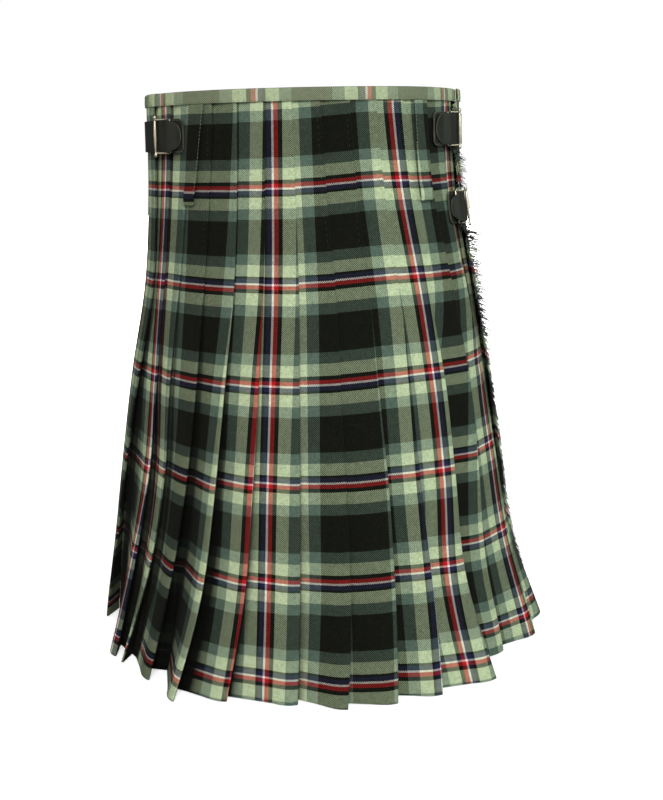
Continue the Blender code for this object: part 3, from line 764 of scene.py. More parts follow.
def pleat_line(height):
    """The pleated cloth's line at one height, as lists of point, warp, number of the face, and shade. The
    warp is metres from a black pivot, or two of them where the count steps: left of the point and right."""
    share = opening_share(height)
    open_gap = PLEAT_LAYER * (1 + 1.5 * share)
    shade = pocket_strength(height)
    start_angle, return_out = apron_return_end(height)
    hidden_from = on_form(start_angle, height, return_out - CLOTH - SEAM)
    before = on_form(angle_at(APRON_FOLD, height), height, OVER_APRON - apron_fold_lift(height))
    line = [[hidden_from, 0.0, 0, 0.0]]
    for index, row in enumerate(PLEATS):
        angle = angle_at(row, height)
        outward = outward_at(angle, height)
        fold = on_form(angle, height, fold_out(row, height))
        width = (fold - before).length
        along = (fold - before).normalized()
        inward = inward_of(along, outward)
        under = min(UNDERFOLD, UNDERFOLD_SHARE * width)
        roll = width * (0.016 + 0.035 * share)
        at_fold = fold_warp(index, height)
        at_before = at_fold - width
        reach = (before - hidden_from).length
        line[-1][1] = (line[-1][1], at_before - reach)
        for part in (0.25, 0.50, 0.75):
            point = hidden_from.lerp(before, part)
            line.append([point, at_before - reach * (1 - part), index, pocket_depth(index, 0.0, height)])
        for step in range(FACE_STEPS + 1):
            back = width * (1 - step / FACE_STEPS) ** 1.25
            crown = smooth(back / under, (*CROWN_PLACES, max(width / under, 1.01)), CROWN_SHARES)
            point = fold - along * back - inward * roll * crown
            line.append([point, at_fold - back, index, pocket_depth(index, width - back, height)])
        for degrees in TURN_STEPS:
            turn = math.radians(degrees)
            sideways = along * math.sin(turn) - inward * math.cos(turn)
            point = fold + inward * TURN_RADIUS + sideways * TURN_RADIUS
            line.append([point, at_fold + TURN_RADIUS * turn, index, shade if degrees > 90 else 0.0])
        turned = fold + inward * PLEAT_LAYER
        inner = fold - along * under + inward * open_gap
        at_turned = at_fold + TURN_RADIUS * math.pi
        for part in (1 / 3, 2 / 3, 1.0):
            line.append([turned.lerp(inner, part), at_turned + under * part, index, shade])
        hidden_from = inner + inward_of(inner - turned, outward) * PLEAT_LAYER
        line.append([hidden_from, at_turned + under + PLEAT_LAYER, index, shade])
        before = on_form(angle, height, fold_out(row, height) - pleat_lift(row, height))
    seam = angle_at(RIGHT_SEAM, height)
    ends = [before]
    for length in (SEAM_ALLOWANCE, SEAM):
        ends.append(on_form(seam - degrees_along(length, seam, height), height, UNDER_APRON))
    for point in ends:
        last_point, last_warp = line[-1][:2]
        line.append([point, last_warp + (point - last_point).length, len(PLEATS) - 1, 0.0])
    return line


def make_pleats():
    lines = [pleat_line(height) for height in ROWS]
    grid = [[point for point, _, _, _ in line] for line in lines]
    shades = [[shade for _, _, _, shade in line] for line in lines]
    warp_rows, weft_rows = [], []
    for height, line in zip(ROWS, lines):
        warp_rows.append([warp if isinstance(warp, tuple) else (warp, warp) for _, warp, _, _ in line])
        weft_row = []
        for (_, warp), (_, _, index, _) in zip(warp_rows[-1], line):
            reds = RED_LINES[index]
            slant = reds[6] * share_of(fold_warp(index, height) - warp, 0.0, WEFT_SLANT_WIDTH)
            weft_row.append(weft_count([red + slant for red in reds[:6]], height))
        weft_rows.append(weft_row)
    warp = np.array(warp_rows) / WARP_PITCH
    weft = both_sides(weft_rows)
    cloth = weave_sheet("pleated_cloth", grid, warp, weft, pleat_wool, pocket=np.array(shades))
    return cloth, flat_cut(grid)


pleated_cloth, pleated_cut = make_pleats()
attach(pleated_cloth, "root")
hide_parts("pleated_back")
print("pleated cloth, laid flat:", [round(value, 3) for value in pleated_cut])

# %% [markdown]
# ## The two aprons
# The over apron is a flat width of cloth that starts from a pressed fold at the wearer's left, crosses the
# front, and ends in a fringed edge at the wearer's right. The under apron lies inside it. Both are single
# curved sheets on the form. A slit in the over apron lets the under apron's strap through, so a few cells
# are left out of the grid there.

# %% Aprons
APRON_STEPS = 84
UNDER_STEPS = 62
APRON_FOLD_WARP = 0.0195
APRON_FOLD_COLUMN = 5
UNDER_SEAM_WARP = 0.0600
SLIT_COLUMNS = (12, 13, 14, 15)
SETTLE_DEGREES = 25
# Each wave: how far it stands off at the hem, how many degrees a degree counts for, and where it starts.
APRON_WAVES = ((0.0022, 5.5, 0), (0.0012, 13, 40))


def over_apron_angles(height):
    """Angles of the over apron's columns from its fold, round the front, to its fringed edge."""
    fold = angle_at(APRON_FOLD, height)
    edge = angle_at(FRINGED_EDGE, height) - 360
    front = fold - SLIT_FRONT
    angles = [fold - SLIT_BACK * step / 6 for step in range(7)]
    angles += [fold - SLIT_BACK - (SLIT_FRONT - SLIT_BACK) * step / 4 for step in (1, 2, 3)]
    step_size = (edge - front) / APRON_STEPS
    return angles + [front + step_size * step for step in range(APRON_STEPS + 1)]


def apron_wave(angle, height):
    """The soft standing folds that a plain width of cloth falls into below the hips."""
    waves = [size * math.sin(math.radians(angle * count + start)) for size, count, start in APRON_WAVES]
    return below_fell(height) ** 1.5 * sum(waves)


def over_apron_points(height):
    fold = angle_at(APRON_FOLD, height)
    return_angle, return_out = apron_return_end(height)
    end = on_form(return_angle, height, return_out)
    turned = on_form(fold, height, OVER_APRON - PLEAT_LAYER)
    points = [end.lerp(turned, step / 4) for step in range(5)]
    start = on_form(fold, height, OVER_APRON)
    sideways = (start - on_form(fold - 2, height, OVER_APRON)).normalized()
    points.append((start + turned) / 2 + sideways * TURN_RADIUS)
    angles = over_apron_angles(height)
    for angle in angles:
        settle = min(abs(angle - fold) / SETTLE_DEGREES, 1.0)
        settle *= min(abs(angle - angles[-1]) / SETTLE_DEGREES, 1.0)
        points.append(on_form(angle, height, OVER_APRON + apron_wave(angle, height) * settle))
    return points


def under_apron_points(height):
    seam = angle_at(RIGHT_SEAM, height)
    edge = angle_at(UNDER_EDGE, height)
    angles = [seam + (edge - seam) * step / UNDER_STEPS for step in range(UNDER_STEPS + 1)]
    return [on_form(angle, height, UNDER_APRON) for angle in angles]


def lengths_from_end(points):
    """The cloth's length from each point of a row to the row's last point."""
    steps = [(second - first).length for first, second in zip(points, points[1:])]
    return [sum(steps[index:]) for index in range(len(points))]


def make_apron(name, row_points, column, warp_at_column, lines, holes=()):
    """An apron whose warp count is known at one column and follows the cloth's length from there."""
    grid = [row_points(height) for height in ROWS]
    warp = []
    for row in grid:
        lengths = lengths_from_end(row)
        warp.append([(warp_at_column + lengths[column] - length) / WARP_PITCH for length in lengths])
    weft = [[weft_count(lines, height)] * len(grid[0]) for height in ROWS]
    cloth = weave_sheet(name, grid, both_sides(warp), both_sides(weft), tartan_wool, holes=holes)
    return cloth, flat_cut(grid)


slit_rows = range(ROWS.index(SLIT_TOP), ROWS.index(SLIT_BOTTOM))
slit = {(row, column) for row in slit_rows for column in SLIT_COLUMNS}
over_cloth, over_cut = make_apron(
    "over_apron_cloth", over_apron_points, APRON_FOLD_COLUMN, APRON_FOLD_WARP, RED_LINES[0], slit
)
under_cloth, under_cut = make_apron(
    "under_apron_cloth", under_apron_points, 0, UNDER_SEAM_WARP, RED_LINES[12]
)
for cloth, node in ((over_cloth, "over_apron"), (under_cloth, "under_apron")):
    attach(cloth, "root")
    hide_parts(node)
print("over apron, laid flat:", [round(value, 3) for value in over_cut])
print("under apron, laid flat:", [round(value, 3) for value in under_cut])

# %% [markdown]
# ## The waistband
# The waistband is a strip of the same tartan folded over the raw top edge and stitched down on both sides.
# It is swept round the waist as a grid: each section climbs the inner side, bends over the top and comes
# down outside. Its tartan runs on its own, without the pleats' jumps.

# %% The waistband
BAND_STEP = 5.0
BAND_FINE_STEP = 1.25
BAND_RISE_ONTO_APRON = (4.0, 1.0)
BAND_PAST_RETURN = 1.5
BAND_TOP_RADIUS = 0.0016
BAND_FOOT = BAND_HEIGHT - 0.0003
BAND_RED_ANGLES = (-61.2, -17.4, 22.3, 60.3)
BAND_RED_THREADS = (-94.5, 94.5, 303.5, 492.5)
BAND_TOP_THREAD = 57.0
BAND_EASE = 1.05


def between(start, end, share):
    return start + (end - start) * share


def band_legs(angle):
    """How far out the band's inner and outer legs lie, from the fringe to the under apron's edge."""
    seam, fold = RIGHT_SEAM[0], APRON_FOLD[0]
    if angle >= seam:
        near_seam = max(0.0, 1 - (angle - seam) / BAND_STEP)
        return between(BAND_INSIDE_UNDER, BAND_INSIDE_PLEATS, near_seam), BAND_OUTSIDE_PLEATS
    if angle > fold:
        onto_apron = share_of(angle - fold, *BAND_RISE_ONTO_APRON)
        return BAND_INSIDE_PLEATS, between(BAND_OUTSIDE_PLEATS, BAND_OUTSIDE_OVER, onto_apron)
    past = share_of(apron_return_end(0.0)[0] - BAND_PAST_RETURN - angle, 0.0, BAND_STEP)
    return between(BAND_INSIDE_PLEATS, BAND_INSIDE_OVER, past), BAND_OUTSIDE_OVER


def band_section(angle):
    """Points from the inner foot, over the rounded top, to the outer foot."""
    inside, outside = band_legs(angle)
    radius = min(BAND_TOP_RADIUS, (outside - inside) / 2)
    shoulder = -CLOTH / 2 - radius
    path = [(inside, -BAND_FOOT), (inside, -BAND_HEIGHT * 0.5), (inside, shoulder)]
    for middle, side, turns in ((inside + radius, -1, (30, 60, 90)), (outside - radius, 1, (90, 60, 30))):
        for turn in map(math.radians, turns):
            path.append((middle + side * radius * math.cos(turn), shoulder + radius * math.sin(turn)))
    path += [(outside, shoulder), (outside, -BAND_HEIGHT * 0.35), (outside + 0.0002, -BAND_HEIGHT * 0.6)]
    path += [(outside + 0.0001, -BAND_HEIGHT * 0.85), (outside - 0.0001, -BAND_FOOT)]
    return [on_form(angle, height, out) for out, height in path]


def make_waistband():
    first, last = angle_at(FRINGED_EDGE, 0.0) - 360, UNDER_EDGE[0]
    count = round((last - first) / BAND_FINE_STEP)
    angles = [between(first, last, step / count) for step in range(count + 1)]
    columns = [band_section(angle) for angle in angles]
    grid = [list(row) for row in zip(*columns)]
    outside = grid[-3]
    lengths = [0.0]
    for one, two in zip(outside, outside[1:]):
        lengths.append(lengths[-1] + (two - one).length)
    at_reds = np.interp(BAND_RED_ANGLES, angles, lengths)
    warp_row = []
    for length in lengths:
        before, after = min(length - at_reds[0], 0.0), max(length - at_reds[-1], 0.0)
        threads = float(np.interp(length, at_reds, BAND_RED_THREADS))
        warp_row.append(threads + (before + after) / WARP_PITCH)
    warp = [warp_row] * len(grid)
    weft = [[BAND_TOP_THREAD - row[0].z / WEFT_PITCH] * len(angles) for row in grid]
    band = weave_sheet("waistband_cloth", grid, both_sides(warp), both_sides(weft), band_wool)
    across = sum((two[0] - one[0]).length for one, two in zip(grid, grid[1:]))
    return band, (lengths[-1], max(across, 2 * BAND_HEIGHT) * BAND_EASE)


waistband, band_cut = make_waistband()
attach(waistband, "root")
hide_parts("waistband")
print("waistband strip:", [round(value, 3) for value in band_cut])

# %% [markdown]
# ## The fringe
# The over apron's side edge is frayed: its last warp threads are drawn out, and the weft threads stand free,
# so each keeps the colour of its own stripe. Hair particles could do this, but two thousand thin three-sided
# tubes, bent by code and grown from one woven strip, export cleanly and keep one mesh.


# %% The fringe's material
def make_fringe_material():
    finish = {"Roughness": 0.95, "Specular IOR Level": 0.15, "Sheen Weight": 0.15}
    material, tree, shader = start_material("fringe_threads", finish)
    weft = maths(tree, "MULTIPLY", uv_value(tree, "threads", 1), THREADS_PER_UNIT)
    dusty = mix_colours(tree, 0.10, yarn_ramp(tree, weft), (0.20, 0.24, 0.17, 1.0))
    fuzz = noise(tree, object_place(tree), 700.0, 3.0, 0.7)
    lift = maths(tree, "MULTIPLY_ADD", fuzz, 1.1, 0.45)
    feed(tree, shader.inputs["Base Color"], shaded_by(tree, dusty, lift))
    add_bump(tree, shader, fuzz, 0.4, 0.0002)
    return material


fringe_material = make_fringe_material()
print("fringe material:", fringe_material.name)

# %% [markdown]
# ## The fringe's threads
# Where a strap presses on the edge its threads lie flat, and between the straps they stand off. A small
# table says so by height, and a seeded random draw gives each thread its own length, droop and sway.

# %% The fringe's threads
FRINGE_TOP = -BAND_HEIGHT - 0.001
FRINGE_BOTTOM = -LENGTH + 0.006
FRINGE_STRIP = 0.003
FRINGE_STRIP_OUT = 0.0005
FRINGE_LENGTH = 0.0215
FRINGE_PITCH = 0.00029
FRINGE_RADIUS = 0.00048
FRINGE_ROOT = FRINGE_STRIP - 0.0006
FRINGE_STEPS = 4
# Each pair is the least a thread gets of something, and the most that the draw adds to it.
THREAD_LENGTH_SHARES = (0.62, 0.38)
THREAD_DROOPS = (0.0012, 0.0030)
THREAD_FLARE_SHARES = (0.10, 0.95)
THREAD_TANGLE = 0.0016
THREAD_SWAY = 0.0008
FULL_SWAY_FLARE = 0.002
THREAD_RIPPLE = 0.0003
THREAD_TAPER = 0.45
# Height, and how far the tips stand off there.
FRINGE_FLARE = (
    (-0.6060, 0.0030),
    (-0.3000, 0.0035),
    (-0.2600, 0.0110),
    (-0.2000, 0.0170),
    (-0.1650, 0.0220),
    (-0.1480, 0.0220),
    (-0.1410, 0.0000),
    (-0.1060, 0.0000),
    (-0.0980, 0.0120),
    (-0.0680, 0.0120),
    (-0.0600, 0.0000),
    (-0.0240, 0.0000),
    (-0.0140, 0.0040),
)
FLARE_HEIGHTS, FLARE_OUTS = zip(*FRINGE_FLARE)
random = np.random.default_rng(7)


def drawn(least, extra):
    return least + extra * random.random()


def fringe_place(height, along, out):
    edge = angle_at(FRINGED_EDGE, height)
    return on_form(edge - degrees_along(SEAM + along, edge, height), height, OVER_APRON + out)


def fringe_strip(points, faces, counts):
    """The woven strip that holds the roots: a square bar down the edge."""
    rows = [height for height in ROWS if FRINGE_BOTTOM <= height <= FRINGE_TOP]
    corners = [(0.0, 1), (FRINGE_STRIP, 1), (FRINGE_STRIP, -1), (0.0, -1)]
    for height in rows:
        points += [fringe_place(height, along, side * FRINGE_STRIP_OUT) for along, side in corners]
        counts += [weft_count(RED_LINES[13], height)] * 4
    for row in range(len(rows) - 1):
        for side in range(4):
            one, two = row * 4 + side, row * 4 + (side + 1) % 4
            faces.append((one, two, two + 4, one + 4))
    faces += [(3, 2, 1, 0), tuple(len(points) - 4 + side for side in range(4))]


def fringe_thread(number, points, faces, counts):
    """One thread: a three-sided tube from the strip to its tip, closed at both ends."""
    height = FRINGE_TOP - FRINGE_PITCH * (number + 0.5)
    length = FRINGE_LENGTH * drawn(*THREAD_LENGTH_SHARES)
    droop = drawn(*THREAD_DROOPS)
    tangle = THREAD_TANGLE * random.normal()
    flare = float(np.interp(height, FLARE_HEIGHTS, FLARE_OUTS)) * drawn(*THREAD_FLARE_SHARES)
    sway = THREAD_SWAY * random.normal() * min(1.0, flare / FULL_SWAY_FLARE)
    start = len(points)
    for step in range(FRINGE_STEPS + 1):
        share = step / FRINGE_STEPS
        along = FRINGE_ROOT + (length - FRINGE_STRIP) * share
        level = height - droop * share**2 + tangle * math.sin(share * 2.6)
        out = sway * share + flare * share**1.4 + THREAD_RIPPLE * math.sin(number * 2.4 + share * 5)
        thick = FRINGE_RADIUS * (1 - THREAD_TAPER * share)
        for turn in map(math.radians, (30, 150, 270)):
            points.append(fringe_place(level + thick * math.sin(turn), along, out + thick * math.cos(turn)))
    counts += [weft_count(RED_LINES[13], height)] * (len(points) - start)
    for ring in range(start, start + FRINGE_STEPS * 3, 3):
        for corner in range(3):
            one, two = ring + corner, ring + (corner + 1) % 3
            faces.append((one, two, two + 3, one + 3))
    tip = start + FRINGE_STEPS * 3
    faces += [(start + 2, start + 1, start), (tip, tip + 1, tip + 2)]


points, faces, counts = [], [], []
fringe_strip(points, faces, counts)
thread_count = int((FRINGE_TOP - FRINGE_BOTTOM) / FRINGE_PITCH)
for number in range(thread_count):
    fringe_thread(number, points, faces, counts)
fringe = mesh_object("fringe_of_threads", points, faces, fringe_material)
weft = np.array([counts[loop.vertex_index] for loop in fringe.data.loops]) / THREADS_PER_UNIT
add_uv_map(fringe, "threads", np.stack([np.zeros(len(weft)), weft], axis=1))
face_outwards(fringe)
finish_mesh(fringe, 80)
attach(fringe, "root")
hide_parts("fringe")
print("fringe threads:", thread_count)

# %% [markdown]
# ## Belt loops
# Two flat loops of the same cloth hang from the waistband for a belt. Each is matched to the tartan behind
# it, so its thread counts are read from the face it covers, and at the foot, where it is tucked and sewn,
# it stands off in a small lump. Each loop is a narrow sheet laid on the form.

# %% Belt loops
# Name, angles of its head and foot, the face behind it, and how far it slips and tapers toward the foot.
BELT_LOOPS = (("belt_loop_left", -40.5, -44.2, 2, 1.0), ("belt_loop_right", 44.0, 45.8, 10, 0.0))
LOOP_WIDTH = 0.018
LOOP_FOOT = -0.113
LOOP_STEPS = 40
LOOP_COLUMNS = 13
LOOP_LEVELS = (0.00, 0.30, 0.60, 0.80, 0.87, 0.93, 0.97, 1.00)
LOOP_OUT = (0.0003, 0.0009, 0.0013, 0.0014, 0.0020, 0.0023, 0.0018, 0.0007)
LOOP_TUCK = (0.80, 1.00)
LOOP_SLIP = 0.0035
LOOP_TAPER = 0.26
LOOP_CROWN = 0.0004


def face_warp(index, angle, height):
    """The warp's place at an angle on a pleat's face."""
    back = angle_at(PLEATS[index], height) - angle
    return fold_warp(index, height) - back / degrees_along(1.0, angle, height)


def loop_place(top_angle, foot_angle, slip, share):
    """(height, middle angle, half width, out) of a belt loop, this share of the way down."""
    height = -BAND_HEIGHT - SEAM + (LOOP_FOOT + BAND_HEIGHT) * share
    middle = between(top_angle, foot_angle, share)
    middle -= degrees_along(LOOP_WIDTH * LOOP_TAPER / 2 * share, middle, height) * slip
    half_width = LOOP_WIDTH / 2 * (1 - LOOP_TAPER * share * slip)
    return height, middle, half_width, CLOTH + SEAM + smooth(share, LOOP_LEVELS, LOOP_OUT)


def make_belt_loop(name, top_angle, foot_angle, face, slip):
    rows, warp, weft = [], [], []
    for step in range(LOOP_STEPS + 1):
        share = step / LOOP_STEPS
        height, middle, half_width, out = loop_place(top_angle, foot_angle, slip, share)
        sides = np.linspace(-1, 1, LOOP_COLUMNS)
        angles = [middle + degrees_along(half_width, middle, height) * side for side in sides]
        outs = [out + LOOP_CROWN * (1 - side**4) for side in sides]
        rows.append([on_form(angle, height, stands) for angle, stands in zip(angles, outs)])
        warp.append([face_warp(face, angle, height) / WARP_PITCH for angle in angles])
        slipped = height + LOOP_SLIP * slip * share_of(share, *LOOP_TUCK)
        weft.append([weft_count(RED_LINES[face], slipped)] * LOOP_COLUMNS)
    loop = weave_sheet(name + "_cloth", rows, both_sides(warp), both_sides(weft), tartan_wool)
    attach(loop, "root")
    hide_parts(name)
    return loop


belt_loops = [make_belt_loop(*values) for values in BELT_LOOPS]
print("belt loops:", len(belt_loops))

# %% [markdown]
# ## Stitches
# Hand stitches hold every fold down the fell, the waistband's lower edge and the sides of the loops. One
# stitch is a tiny spindle, made from a sphere that is stretched in edit mode. It is then copied into place
# many times in one mesh, each copy turned along its seam.

# %% One stitch, and a seam of them
STITCH_WIDTH = 0.0006
SPINDLE_SCALE = (1.0, 0.42, 0.34)


def make_spindle():
    """The points and faces of one stitch, a unit long, lying along X."""
    deselect_all()
    bpy.ops.mesh.primitive_uv_sphere_add(segments=6, ring_count=4, radius=0.5)
    bpy.ops.object.mode_set(mode="EDIT")
    bpy.ops.transform.rotate(value=math.radians(90), orient_axis="Y", center_override=(0, 0, 0))
    bpy.ops.transform.resize(value=SPINDLE_SCALE, center_override=(0, 0, 0))
    bpy.ops.object.mode_set(mode="OBJECT")
    spindle = bpy.context.object
    points = np.array([tuple(vertex.co) for vertex in spindle.data.vertices])
    faces = [tuple(polygon.vertices) for polygon in spindle.data.polygons]
    bpy.data.objects.remove(spindle)
    return points, faces


SPINDLE_POINTS, SPINDLE_FACES = make_spindle()


def sew(name, stitches, material):
    """One mesh of stitches, each given as (start, end, outward)."""
    points, faces = [], []
    for start, end, outward in stitches:
        along = (end - start).normalized()
        across = outward.cross(along).normalized()
        axes = (along * (end - start).length, across * STITCH_WIDTH, outward * STITCH_WIDTH)
        offset = len(points) * len(SPINDLE_POINTS)
        turned = SPINDLE_POINTS @ np.array([tuple(axis) for axis in axes])
        points.append(turned + np.array((start + end) / 2))
        faces += [tuple(index + offset for index in face) for face in SPINDLE_FACES]
    piece = mesh_object(name, np.concatenate(points), faces, material)
    make_active(piece)
    bpy.ops.object.shade_smooth()
    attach(piece, "root")
    return piece


def make_thread_material(name, colour):
    material, tree, shader = start_material(name, {"Roughness": 0.7})
    twist = noise(tree, object_place(tree), 1500.0, 2.0, 0.6)
    lift = maths(tree, "MULTIPLY_ADD", twist, 0.8, 0.6)
    feed(tree, shader.inputs["Base Color"], shaded_by(tree, (*colour, 1.0), lift))
    return material


dark_thread = make_thread_material("dark_sewing_thread", (0.018, 0.020, 0.015))
pale_thread = make_thread_material("waxed_linen_thread", (0.30, 0.28, 0.23))
# The pale sage stitches on the loops also paint the highlight along the loop's folded edge.
sage_highlight_thread = make_thread_material("sage_highlight_thread", (0.34, 0.42, 0.26))
print("faces in one stitch:", len(SPINDLE_FACES))

# %% [markdown]
# ## The seams
# The sewer works down each fold with short slanted stitches, then round under the waistband. On the loops
# pale stitches run down only the edge that lies over a pleat's fold, and they also paint the highlight of
# that folded edge catching the light.

# %% The seams
STITCH_OUT = 0.0001
FELL_FROM = -0.018
FELL_STEP, FELL_STITCH = 0.0062, 0.0030
FELL_INSIDE = (0.0022, 0.0028)
BAND_SEWN = (-63.0, 75.0)
BAND_STITCH_STEP, BAND_STITCH_DEGREES = 2.1, 0.9
BAND_STITCH_RISE = (0.0016, 0.0014)
LOOP_STITCHES = 24
LOOP_STITCH_FROM, LOOP_STITCH_STEP, LOOP_STITCH_SHARE = 0.04, 0.036, 0.024
LOOP_STITCH_INSET = 0.0007
LOOP_STITCH_OUT = 0.0002
LOOP_MIDDLE_HEIGHT = -0.05


def inside_fold(row, height, length):
    """The angle this length of cloth inside a pleat's fold."""
    fold = angle_at(row, height)
    return fold - degrees_along(length, fold, height)


def fell_stitches():
    """Short dark stitches just inside every fold that is sewn down, and along the waistband's foot."""
    stitches = []
    out = CLOTH / 2 + STITCH_OUT
    for row in PLEATS[:13]:
        height = FELL_FROM
        while height > -FELL:
            lower = height - FELL_STITCH
            angle = inside_fold(row, height, FELL_INSIDE[0])
            end = on_form(inside_fold(row, lower, FELL_INSIDE[1]), lower, out)
            stitches.append((on_form(angle, height, out), end, outward_at(angle, height)))
            height -= FELL_STEP
    angle = BAND_SEWN[0]
    while angle < BAND_SEWN[1]:
        ends = []
        for turn, rise in zip((angle, angle + BAND_STITCH_DEGREES), BAND_STITCH_RISE):
            ends.append(on_form(turn, -BAND_HEIGHT + rise, BAND_OUTSIDE_PLEATS + out))
        stitches.append((*ends, outward_at(angle, 0.0)))
        angle += BAND_STITCH_STEP
    return stitches


def loop_edge(top_angle, foot_angle, slip):
    """Pale stitches down the edge of a belt loop that lies over a pleat's fold; they also paint that edge's
    highlight.
    """
    stitches = []
    side = 1.0 if top_angle < 0 else -1.0
    for number in range(LOOP_STITCHES):
        first = LOOP_STITCH_FROM + number * LOOP_STITCH_STEP
        ends = []
        for share in (first, first + LOOP_STITCH_SHARE):
            height, middle, half_width, out = loop_place(top_angle, foot_angle, slip, share)
            angle = middle + degrees_along(half_width - LOOP_STITCH_INSET, middle, height) * side
            ends.append(on_form(angle, height, out + CLOTH / 2 + LOOP_STITCH_OUT))
        stitches.append((*ends, outward_at(top_angle, LOOP_MIDDLE_HEIGHT)))
    return stitches


for name, top_angle, foot_angle, _, slip in BELT_LOOPS:
    edge = sew("edge_stitches_" + name, loop_edge(top_angle, foot_angle, slip), sage_highlight_thread)

down_the_fell = fell_stitches()
fell_seams = sew("fell_stitches", down_the_fell, dark_thread)
print("stitches down the fell and round the waistband:", len(down_the_fell))

# %% [markdown]
# ## How the aprons hang
# The aprons were made before the waistband and the fringe, which they are sewn to.

# %% How the aprons hang
print("aprons hang from:", waistband.name)

# %% [markdown]
# ## Leather
# The straps and tabs are vegetable-tanned black leather: a fine pebbled grain on the face, a slightly
# paler cut edge that also paints the highlight the light leaves along the edges, and a dull sheen where
# fingers rub. Grain is a group because straps and edges share it. It gives a tone and a height, and each
# material keeps its own roughness.

# %% Leather materials
GRAIN_SCALE = 900.0
WEAR_SCALE = 60.0


def make_grain_group():
    group, entry, leave = new_group(
        "leather_grain", [("Place", "Vector")], [("Tone", "Float"), ("Height", "Float")]
    )
    place = entry.outputs["Place"]
    pebbles = add_node(group, "ShaderNodeTexVoronoi", feature="SMOOTH_F1")
    feed_all(group, pebbles, {"Vector": place, "Scale": GRAIN_SCALE, "Smoothness": 0.4})
    worn = noise(group, place, WEAR_SCALE, 4.0, 0.6)
    height = maths(group, "ADD", pebbles.outputs["Distance"], maths(group, "MULTIPLY", worn, 0.5))
    feed_all(group, leave, {"Tone": worn, "Height": height})
    return group


leather_grain = make_grain_group()


def make_leather_material(name, dark, rubbed, roughness):
    material, tree, shader = start_material(name, {"Specular IOR Level": 0.22})
    grain = add_node(tree, "ShaderNodeGroup", node_tree=leather_grain)
    feed(tree, grain.inputs["Place"], object_place(tree))
    tone = maths(tree, "MULTIPLY_ADD", grain.outputs["Tone"], 2.2, -0.7)
    feed(tree, shader.inputs["Base Color"], mix_colours(tree, tone, (*dark, 1.0), (*rubbed, 1.0)))
    rough = maths(tree, "MULTIPLY_ADD", grain.outputs["Tone"], 0.25, roughness)
    feed(tree, shader.inputs["Roughness"], rough)
    add_bump(tree, shader, grain.outputs["Height"], 0.35, 0.0002)
    return material


strap_leather = make_leather_material("black_leather", (0.007, 0.008, 0.005), (0.016, 0.017, 0.011), 0.46)
# The tabs get a darker copy of the strap leather, painted as the shade they lie in under the straps.
shaded_tab_leather = make_leather_material("shaded_tab_leather", (0.005, 0.005, 0.004), (0.011, 0.011, 0.008), 0.50)
# Paler cut edge: partly the edge's own colour and partly a painted highlight of the light caught along the
# edges.
edge_and_highlight_leather = make_leather_material("leather_cut_edge", (0.040, 0.038, 0.028), (0.090, 0.086, 0.066), 0.60)
print("leather materials:", strap_leather.name, shaded_tab_leather.name, edge_and_highlight_leather.name)

# %% [markdown]
# ## Where the fastenings lie
# A strap comes from its apron, runs over the buckle's inner bar and under its outer one, and ends in a
# rounded tip over the tab that holds the buckle. The layers lie one over the other, each with a hair of
# room, so their distances out from the form are worked out first, from the thickness of each layer.

# %% Sizes and layers of the fastenings
# Name, angles of the outer bar and of the strap's tip, height, and the lift over the layers below.
FASTENINGS = (
    ("left", -61.0, -48.0, -0.0435, 0.0),
    ("right_waist", 69.5, 52.6, -0.0415, 0.0),
    ("right_hip", 75.0, 62.5, -0.1235, 0.0006),
)
STRAP_HEIGHT = 0.032
STRAP_LEATHER = 0.0016
TAB_LEATHER = 0.0018
STRAP_REACH = STRAP_HEIGHT / 2
TAB_REACH = STRAP_REACH + 0.0012
BAR_RADIUS = 0.0013
BUCKLE_WIDTH = 0.015
BUCKLE_HEIGHT = 0.041
STRAP_FIT = 0.0009
TAB_FIT = 0.0003
BAR_FIT = 0.0004
TAB_BEYOND_STRAP = 0.0015
TAB_CLIMB = 0.010
STRAP_LANDS = 0.010
LEFT_STRAP_LANDS = 0.008
STRAP_ON_APRON = 0.056
STRAP_INSIDE_APRON = 0.045
STRAP_SAG_AT_BAR = 0.45
SLIT_ROOM = 0.002


def fastening_frame(bar_angle, tip_angle, height, lift):
    """Where a fastening's layers lie: its direction round the kilt, and how far out each one is."""
    tab_out = CLOTH / 2 + SEAM + TAB_LEATHER / 2 + TAB_FIT
    loop_radius = BAR_RADIUS + SEAM + TAB_LEATHER / 2
    on_leather = TAB_LEATHER / 2 + STRAP_FIT + STRAP_LEATHER / 2
    on_apron = OVER_APRON + CLOTH / 2 + STRAP_FIT + STRAP_LEATHER / 2
    rear_out = tab_out + lift + loop_radius
    over_loop = rear_out + loop_radius + on_leather
    under_bar = between(on_apron, over_loop, STRAP_SAG_AT_BAR)
    return {
        "toward_back": -1.0 if bar_angle > 0 else 1.0,
        "lift": lift,
        "tab_out": tab_out,
        "loop_radius": loop_radius,
        "rear_out": rear_out,
        "over_loop": over_loop,
        "on_tab": tab_out + on_leather,
        "on_apron": on_apron,
        "under_bar": under_bar,
        "bar_out": under_bar + STRAP_LEATHER / 2 + STRAP_FIT + BAR_RADIUS + BAR_FIT,
        "strap_tip": abs(bar_angle - tip_angle) / degrees_along(1.0, bar_angle, height),
    }


def along_form(bar_angle, toward_back, length, height, rise, out):
    """A point this length from the buckle's outer bar towards the back, and this far above its middle."""
    angle = bar_angle + toward_back * degrees_along(length, bar_angle, height)
    return on_form(angle, height + rise, out)


layers = fastening_frame(*FASTENINGS[0][1:])
print("left strap's tip:", round(layers["strap_tip"] * 1000, 1), "mm behind its buckle's outer bar")

# %% [markdown]
# ## Routes of the leather
# Each strap and tab follows a route of stops: a length from the outer bar, a distance out from the form,
# and a share of the full height, which shrinks toward the rounded ends. A curve object could carry the
# leather, but with stops each layer can be set exactly on the one below.


# %% Routes of the leather
def spread(first, last, count):
    return [between(first, last, step / (count - 1)) for step in range(count)]


def rounded_share(distance, radius):
    """Share of the full height of a round end, at this distance from its tip."""
    inside = min(max(distance, 0.0), radius)
    return max(math.sqrt(max(0.0, 1 - (1 - inside / radius) ** 2)), 0.10)


